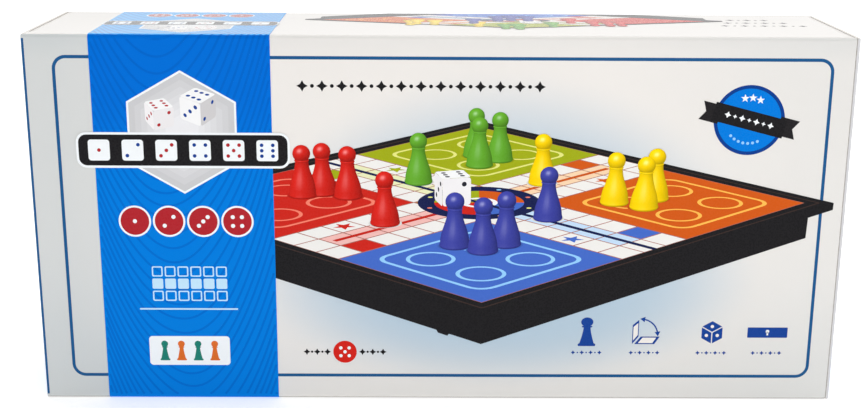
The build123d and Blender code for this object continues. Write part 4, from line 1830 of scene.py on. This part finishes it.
@dataclass
class Emblems:
    """The small printed emblems of the front, with some of them again on the top and the back."""

    skin: Skin
    pawn: PawnShape = field(default_factory=PawnShape)
    band_x: float = -86.3
    plaque_place: Spot = (95.5, 21.0)  # height and radius
    bar: Box = (-122.0, 83.4, -50.5, 95.6)
    token_height: float = 64.8
    badge_place: tuple[float, float, float] = (103.0, 100.6, 11.9)
    track_place: Spot = (-86.0, 42.5)
    rule: Box = (-103.6, 33.05, -69.7, 33.6)
    piece_plate: Box = (-101.0, 12.6, -73.0, 23.3)
    long_ornament: tuple[float, float, float] = (-47.7, 34.4, 111.5)  # left, right and height
    disc_place: tuple[float, float, float] = (-32.9, 17.6, 4.1)
    icon_columns: tuple[float, ...] = (51.5, 71.8, 95.2, 114.6)
    icon_height: float = 25.2
    top_share: float = 0.85
    top_margin: float = 4.5
    top_edge: float = 116.5
    back_place: Spot = (29.5, 106.5)
    back_share: float = 1.55
    back_pitch: float = 17.0

    def build(self) -> None:
        """Lays the emblems on the three panels."""
        ink = PictureInk("emblem_ink").material()
        self.front_print(ink)
        self.top_print()
        self.back_print(ink)

    def front_print(self, ink: bpy.types.Material) -> None:
        """Prints every emblem on the front.

        Args:
            ink: The ink.
        """
        art = Drawing()
        self.badge(art, *self.badge_place)
        self.band_marks(art)
        self.track(art, *self.track_place)
        art.plate(rounded(*self.rule, 0.25), ON_BAND, Hue.PALE_CYAN.tint)
        self.small_plate(art, self.piece_plate)
        self.ornament(art, *self.long_ornament, 25)
        self.pip_disc(art, *self.disc_place)
        for kind, cx in zip(Icon, self.icon_columns):
            self.icon(art, kind, cx, self.icon_height)
        art.piece("front_emblems", Placing(self.skin, Panel.FRONT).flat, ink)

    def back_print(self, ink: bpy.types.Material) -> None:
        """Prints the four small pictures in a column on the back.

        Args:
            ink: The ink.
        """
        art = Drawing()
        for row, kind in enumerate(Icon):
            self.icon(art, kind, 0.0, -self.back_pitch * row)
        scale = (self.back_share, self.back_share)
        column = Placing(self.skin, Panel.BACK, place=self.back_place, scale=scale)
        art.piece("back_emblems", column.flat, ink)

    def band_marks(self, art: Drawing) -> None:
        """Draws the plaque, the bar of dice faces and the four tokens of the band.

        Args:
            art: The drawing.
        """
        self.plaque(art, self.band_x, *self.plaque_place)
        self.dice_bar(art, self.bar)
        self.tokens(art, self.band_x, self.token_height)

    def top_print(self) -> None:
        """Prints the band's emblems on the top as well, smaller and the other way up."""
        art = Drawing()
        self.band_marks(art)
        right = 2 * self.band_x
        for row in range(3):
            start, end = right - 166.0 + 6 * row, right - 130.0 - 3 * row
            self.ornament(art, start, end, 88.0 - 9 * row, 9 - 2 * row)
        edge, margin, scale = (self.band_x, self.top_edge), (self.band_x, self.top_margin), -self.top_share
        top = Placing(self.skin, Panel.TOP, edge, margin, (scale, scale))
        art.piece("top_emblems", top.flat, PictureInk("top_emblem_ink", TOP_COAT).material())

    def badge(self, art: Drawing, cx: float, cy: float, radius: float) -> None:
        """Draws the round badge with its ribbon.

        Args:
            art: The drawing.
            cx: X of its middle.
            cy: Y of its middle.
            radius: Its radius.
        """
        art.plate(circle(cx, cy, radius, 64), ON_BOARD, Hue.RIM_BLUE.tint)
        art.plate(circle(cx, cy, radius - 1.2, 64), ON_BOARD + 1.5 * LAYER, Hue.BAND.tint)
        lean, mark_level, ribbon = -14.5, ON_BOARD + 3 * LAYER, ON_BOARD + 4.5 * LAYER
        for k in (-1, 0, 1):
            art.plate(star(*polar(cx, cy, 7.6, 84 - 20 * k), 1.45), mark_level, Hue.INK_WHITE.tint)
        for side in (-1, 1):
            tail = [(10.0, -3.2), (16.6, -3.2), (14.9, 0.0), (16.6, 3.2), (10.0, 3.2)]
            tail = [(side * x, y + side * 0.7) for x, y in tail]
            art.plate(moved(tail, cx, cy, lean), ribbon, Hue.DEEP_BLACK.tint)
        body = rounded(-12.4, -3.2, 12.4, 3.2, 0.2, 2)
        art.plate(moved(body, cx, cy, lean), ribbon + 1.5 * LAYER, Hue.BLACK.tint)
        for k in range(7):
            mark = star((k - 3) * 2.5, 0, 1.15 if k % 2 == 0 else 0.75, 4, 0.5)
            art.plate(moved(mark, cx, cy, lean), ribbon + 2.5 * LAYER, Hue.INK_WHITE.tint)
            dot = circle(*polar(cx, cy, 7.9, 258 + 12 * (k - 3)), 0.5, 14)
            art.plate(dot, mark_level, Hue.LINE_BLUE.tint)

    def plaque(self, art: Drawing, cx: float, cy: float, radius: float) -> None:
        """Draws the pale six-sided plaque with two dice on it.

        Args:
            art: The drawing.
            cx: X of its middle.
            cy: Y of its middle.
            radius: From its middle to a corner.
        """
        steps, first_level = 7, ON_BAND - 0.5 * LAYER
        for k in range(-1, steps):
            share = (k + 1) / steps
            reach = radius if k < 0 else (radius - 0.8) * (1 - 0.8 * k / steps)
            rim = arc(cx, cy, reach, 90, 450, 6)[:-1]
            tint = tuple(c * (0.84 + 0.4 * share) for c in Hue.PALE_GREY.tint)
            level = first_level + 0.25 * LAYER * (k + 1)
            art.plate(rim, level, Hue.INK_WHITE.tint if k < 0 else tint)
        dice = ((-7.4, 3.2, 24, 7.2, Hue.DARK_RED), (5.6, 5.2, 52, 8.4, Hue.ICON))
        for dx, dy, turn, size, hue in dice:
            view = Viewpoint(turn, 30, 120, 120, (cx + dx, cy + dy), 0.0004, ON_BAND + 1.5 * LAYER)
            solid = Drawing()
            DieDrawing(size, hue.tint).draw(solid, Vector((0, 0, 0)), 0, 0.0, PrintLamp(turn))
            first = len(art.points)
            for point, lift, tint in zip(solid.points, solid.lifts, solid.tints):
                u, v, level = view.look(point, lift)
                art.add((u, v, 0), level, tint)
            art.faces += [tuple(first + k for k in face) for face in solid.faces]

    @staticmethod
    def pips(
        art: Drawing, spot: Spot, count: int, gap: float, radius: float, level: float, tint: Tint
    ) -> None:
        """Draws this many pips, as on a die's face, about a spot."""
        for dx, dy in DieDrawing.SPOTS[count]:
            art.plate(circle(spot[0] + dx * gap, spot[1] + dy * gap, radius, 16), level, tint)

    def dice_bar(self, art: Drawing, box: Box) -> None:
        """Draws the black bar with six dice faces, each with its own count of pips.

        Args:
            art: The drawing.
            box: Its four edges.
        """
        (x0, y0, x1, y1), level = box, ON_BAND + 2.5 * LAYER
        art.plate(rounded(*box, 3.4), level, Hue.INK_WHITE.tint)
        art.plate(rounded(x0 + 0.8, y0 + 0.8, x1 - 0.8, y1 - 0.8, 2.7), level + LAYER, Hue.BLACK.tint)
        cy, half = (y0 + y1) / 2, (y1 - y0) / 2 - 2.5
        for k in range(6):
            cx = (x0 + x1) / 2 + (k - 2.5) * (x1 - x0) / 6.35
            art.plate(tile(cx, cy, half, 1.0), level + 2 * LAYER, Hue.INK_WHITE.tint)
            tint = Hue.DARK_RED.tint if k % 2 == 0 else Hue.ICON.tint
            self.pips(art, (cx, cy), k + 1, 0.52 * half, 0.62, level + 3 * LAYER, tint)

    def tokens(self, art: Drawing, cx: float, cy: float) -> None:
        """Draws the row of four round tokens, marked with one to four pips.

        Args:
            art: The drawing.
            cx: X of its middle.
            cy: Y of its middle.
        """
        for k in range(4):
            x = cx + (k - 1.5) * 11.6
            art.plate(circle(x, cy, 5.5), ON_BAND, Hue.INK_WHITE.tint)
            art.plate(circle(x, cy, 4.85), ON_BAND + LAYER, Hue.DARK_RED.tint)
            self.pips(art, (x, cy), k + 1, 1.55, 0.72, ON_BAND + 2 * LAYER, Hue.INK_WHITE.tint)

    def track(self, art: Drawing, cx: float, cy: float) -> None:
        """Draws a short piece of track, three cells high, with its home row filled.

        Args:
            art: The drawing.
            cx: X of its middle.
            cy: Y of its middle.
        """
        pitch, half, line = 4.4, 1.85, 0.45
        for column in range(6):
            for row in range(3):
                x, y = cx + (column - 2.5) * pitch, cy + (row - 1) * pitch
                cell = tile(x, y, half, 0.5, 3)
                if row == 1:
                    art.plate(cell, ON_BAND, Hue.PALE_CYAN.tint)
                else:
                    art.ring(cell, tile(x, y, half - line, 0.3, 3), ON_BAND, Hue.PALE_CYAN.tint)

    def small_plate(self, art: Drawing, box: Box) -> None:
        """Draws the white plate with a row of four pieces.

        Args:
            art: The drawing.
            box: Its four edges.
        """
        x0, y0, x1, _y1 = box
        art.plate(rounded(*box, 1.2), ON_BAND, Hue.INK_WHITE.tint)
        for k, hue in enumerate((Hue.TEAL, Hue.ORANGE, Hue.TEAL, Hue.ORANGE)):
            x = (x0 + x1) / 2 + (k - 1.5) * 5.8
            art.plate(self.pawn.outline(x, y0 + 1.7, 7.3), ON_BAND + LAYER, hue.tint)

    @staticmethod
    def ornament(
        art: Drawing, x0: float, x1: float, cy: float, count: int, size: float = 1.9, hue: Hue = Hue.BLACK
    ) -> None:
        """Draws an ornament line: small stars with dots between them.

        Args:
            art: The drawing.
            x0: Its left end.
            x1: Its right end.
            cy: Its height.
            count: How many marks it has.
            size: Radius of a star.
            hue: Its colour.
        """
        for k in range(count):
            x = x0 + (x1 - x0) * (k + 0.5) / count
            mark = star(x, cy, size, 4, 0.5) if k % 2 == 0 else circle(x, cy, size / 3, 20)
            art.plate(mark, ON_BOARD, hue.tint)

    def pip_disc(self, art: Drawing, cx: float, cy: float, radius: float) -> None:
        """Draws the red disc with five pips.

        Args:
            art: The drawing.
            cx: X of its middle.
            cy: Y of its middle.
            radius: Its radius.
        """
        art.plate(circle(cx, cy, radius), ON_BOARD, Hue.RED.tint)
        self.pips(art, (cx, cy), 5, 1.45, 0.6, ON_BOARD + LAYER, Hue.INK_WHITE.tint)
        for side in (-1, 1):
            start, end = sorted((cx + side * 5.2, cx + side * 14.2))
            self.ornament(art, start, end, cy, 5, 1.2)

    def icon(self, art: Drawing, kind: Icon, cx: float, cy: float) -> None:
        """Draws one of the four small pictures, with an ornament line under it.

        Args:
            art: The drawing.
            kind: Which of them.
            cx: X of its middle.
            cy: Y of its middle.
        """
        tint, white = Hue.ICON.tint, Hue.INK_WHITE.tint
        if kind is Icon.PAWN:
            outline = [(cx + (x - cx) * 1.25, y) for x, y in self.pawn.outline(cx, cy - 5.2, 10.6)]
            art.plate(outline, ON_BOARD, tint)
        elif kind is Icon.HALF_OPEN_BOARD:
            self.open_board_icon(art, cx, cy)
        elif kind is Icon.DIE:
            self.die_icon(art, cx, cy, 4.4)
        else:
            art.plate(rounded(cx - 7, cy - 1.9, cx + 7, cy + 1.9, 0.3), ON_BOARD, tint)
            art.plate(circle(cx, cy + 0.4, 0.65, 16), ON_BOARD + LAYER, white)
            art.plate(rounded(cx - 0.3, cy - 1.0, cx + 0.3, cy + 0.3, 0.1, 2), ON_BOARD + LAYER, white)
        self.ornament(art, cx - 5.4, cx + 5.4, cy - 7.6, 7, 0.8, Hue.ICON)

    def open_board_icon(self, art: Drawing, cx: float, cy: float) -> None:
        """Draws the half-open board: a lying half, a raised half and the arc between.

        Args:
            art: The drawing.
            cx: X of its middle.
            cy: Y of its middle.
        """
        tint = Hue.ICON.tint
        lying = [(-3.6, -4.4), (3.4, -4.4), (5.2, -1.6), (-1.4, -1.6)]
        raised = [(-4.4, -4.4), (-2.2, -1.6), (-2.2, 4.6), (-4.4, 2.6)]
        for shape in (lying, raised):
            art.plate(moved(shape, cx, cy), ON_BOARD, tint)
            art.plate(moved(shrunk(shape, 0.72), cx, cy), ON_BOARD + LAYER, Hue.PAPER.tint)
        pivot = (-1.6, -1.2)
        bow = arc(*pivot, 6.3, 12, 78, 12) + arc(*pivot, 5.8, 78, 12, 12)
        art.plate(moved(bow, cx, cy), ON_BOARD, tint)
        for at, turn in ((8, -82), (82, 172)):
            tip = moved(star(*polar(*pivot, 6.05, at), 1.15, 3, 0.5, turn), cx, cy)
            art.plate(tip, ON_BOARD + 0.5 * LAYER, tint)

    def die_icon(self, art: Drawing, cx: float, cy: float, radius: float) -> None:
        """Draws a die as three rhombs with pips.

        Args:
            art: The drawing.
            cx: X of its middle.
            cy: Y of its middle.
            radius: From its middle to a corner.
        """
        for turn in (30, 150, 270):
            rhomb = [(cx, cy), *(polar(cx, cy, radius, turn + 60 * k) for k in range(3))]
            art.plate(shrunk(rhomb, 0.9), ON_BOARD, Hue.ICON.tint)
            art.plate(circle(*middle(rhomb), 0.6, 14), ON_BOARD + LAYER, Hue.PAPER.tint)


# ------------------------------------------------------------------------- carried-over CAD


@dataclass
class Dressing:
    """Finishes for the CAD nodes that stay as they are."""

    nodes: dict[str, bpy.types.Object]
    side_y: float
    fold_z: float = 3.4

    def build(self) -> None:
        """Gives every kept node its finish."""
        for name, material in self.finishes().items():
            mesh = self.nodes[name].data
            mesh.materials.clear()
            mesh.materials.append(material)
            LOG.info("%s: %s", name, material.name)

    def finishes(self) -> dict[str, bpy.types.Material]:
        """Makes the finishes.

        Returns:
            Each node's material by the node's name.
        """
        ends = {"right": 1.0, "left": -1.0}
        made: dict[str, bpy.types.Material] = {}
        board = PlainBoard().material()
        for side, sign in ends.items():
            made[f"{side}_tuck_flap"] = FlapPrint(f"{side}_flap_print", sign, -sign * self.side_y).material()
            for part in ("upper", "lower"):
                made[f"{side}_{part}_dust_flap"] = board
        black = MouldedPlastic("tray_plastic", Hue.BLACK, 0.38, 0.8).material()
        for part in ("front_half_tray", "back_half_tray", "latch_clip"):
            made[part] = black
        pins = Steel("pin_steel").material()
        for part in ("left_hinge_pin", "right_hinge_pin", "latch_pin"):
            made[part] = pins
        made["pawn_magnets"] = Steel("magnet_steel", 0.22).material()
        for hue in (Hue.RED, Hue.GREEN, Hue.YELLOW, Hue.BLUE):
            colour = hue.name.lower()
            made[f"{colour}_pawns"] = MouldedPlastic(f"{colour}_pawn_plastic", hue, 0.18).material()
        low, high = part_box("die")
        centre = tuple((low + high) / 2 / MM)
        made["die"] = DieFinish(centre, (high.x - low.x) / 2 / MM).material()
        made["rules_leaflet"] = LeafletPaper().material()
        half = self.nodes["front_play_sheet"].dimensions.x / 2 / MM
        yards = {"front": (Hue.YARD_RED, Hue.YARD_RED, Hue.YARD_BLUE),
                 "back": (Hue.YARD_ORANGE, Hue.YARD_GREEN, Hue.YARD_ORANGE)}
        for side, hues in yards.items():
            sheet = PlaySheetPrint(f"{side}_play_print", *hues, half, self.fold_z)
            made[f"{side}_play_sheet"] = sheet.material()
        return made


# --------------------------------------------------------------------------------- studio


@dataclass(frozen=True)
class Softbox:
    """A rectangular light of the studio, in metres and watts."""

    name: str
    place: tuple[float, float, float]
    aim: tuple[float, float, float]
    size: tuple[float, float]
    power: float

    def hang(self) -> None:
        """Hangs the light and turns it to its aim."""
        lamp = bpy.data.lights.new(self.name, "AREA")
        lamp.shape, lamp.energy = "RECTANGLE", self.power
        lamp.size, lamp.size_y = self.size
        box = bpy.data.objects.new(self.name, lamp)
        box.location = self.place
        box.rotation_euler = (Vector(self.aim) - Vector(self.place)).to_track_quat("-Z", "Y").to_euler()
        box.visible_camera = False
        bpy.context.scene.collection.objects.link(box)


@dataclass
class Studio:
    """Plain pale floor, soft light and the camera at the photograph's angle."""

    target: tuple[float, float, float] = (-2.428, -30.0, 64.25)
    azimuth: float = 0.549
    elevation: float = 15.81
    distance: float = 464.51
    roll: float = 0.368
    focal_pixels: float = 1364.39
    image_width: float = 866.0
    centre_drop: float = 19.93
    sensor: float = 36.0
    floor_half: float = 6.0
    floor_glow: float = 0.5
    room_light: float = 0.3
    softboxes: tuple[Softbox, ...] = (
        Softbox("overhead_box", (0.1, 0.42, 1.5), (0.0, 0.0, 0.0), (1.8, 0.8), 17.5),
        Softbox("front_box", (0.3, -1.1, 0.6), (0.04, 0.0, 0.06), (0.7, 0.6), 4.5),
        Softbox("rear_box", (0.0, 1.5, 0.5), (0.0, 0.0, 0.12), (2.4, 0.5), 3.3),
    )

    def build(self) -> None:
        """Sets the floor, the lights, the camera and the view's colours."""
        self.floor()
        self.lights()
        self.camera()
        scene = bpy.context.scene
        scene.view_settings.view_transform = "Standard"
        scene.view_settings.look = "None"

    def floor(self) -> None:
        """Lays a plain pale floor far past the view."""
        half = self.floor_half
        mesh = bpy.data.meshes.new("studio_floor")
        corners = [(-half, -half, 0), (half, -half, 0), (half, half, 0), (-half, half, 0)]
        mesh.from_pydata(corners, [], [(0, 1, 2, 3)])
        book = MaterialBook("studio_floor", 0.6, Specular_IOR_Level=0.2)
        book.colour(book.blend(book.noise(400, 1), (0.93, 0.93, 0.93, 1), (0.91, 0.91, 0.915, 1)))
        book.feed(book.shader.inputs["Emission Color"], (1, 1, 1, 1))
        book.feed(book.shader.inputs["Emission Strength"], self.floor_glow)
        mesh.materials.append(book.material)
        floor = bpy.data.objects.new("studio_floor", mesh)
        bpy.context.scene.collection.objects.link(floor)

    def lights(self) -> None:
        """Hangs the softboxes and sets the room's white."""
        world = bpy.data.worlds.new("studio_white")
        bpy.context.scene.world = world
        world.use_nodes = True
        ground = world.node_tree.nodes["Background"]
        ground.inputs["Color"].default_value = (1, 1, 1, 1)
        ground.inputs["Strength"].default_value = self.room_light
        for softbox in self.softboxes:
            softbox.hang()

    def camera(self) -> None:
        """Stands the camera where the photograph was taken from."""
        a, e, r = (math.radians(v) for v in (self.azimuth, self.elevation, self.roll))
        forward = Vector((math.sin(a) * math.cos(e), math.cos(a) * math.cos(e), -math.sin(e)))
        level = Vector((math.cos(a), -math.sin(a), 0))
        upright = level.cross(forward)
        right = level * math.cos(r) + upright * math.sin(r)
        up = upright * math.cos(r) - level * math.sin(r)
        place = (Vector(self.target) - forward * self.distance) * MM
        lens = bpy.data.cameras.new("photo_camera")
        lens.sensor_width = self.sensor
        lens.lens = self.focal_pixels / self.image_width * self.sensor
        lens.shift_y = self.centre_drop / self.image_width
        lens.clip_start, lens.clip_end = 0.01, 50
        camera = bpy.data.objects.new("photo_camera", lens)
        turn = Matrix((right, up, -forward)).transposed().to_4x4()
        camera.matrix_world = Matrix.Translation(place) @ turn
        bpy.context.scene.collection.objects.link(camera)
        bpy.context.scene.camera = camera


# ----------------------------------------------------------------------------------- main


def main() -> None:
    """Builds the object's looks in order."""
    logging.basicConfig(level=logging.INFO, format="%(name)s: %(message)s")
    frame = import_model()
    low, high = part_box("carton_sleeve")
    skin = Skin(half_length=high.x / MM, side_y=high.y / MM, top_z=high.z / MM)
    Studio().build()
    CartonBoard(frame["nodes"]["carton_sleeve"], skin).build()
    BandPrint(skin).build()
    FramePrint(skin).build()
    PanelPicture(skin).build()
    Emblems(skin).build()
    Dressing(frame["nodes"], skin.side_y).build()


if __name__ == "__main__":
    main()
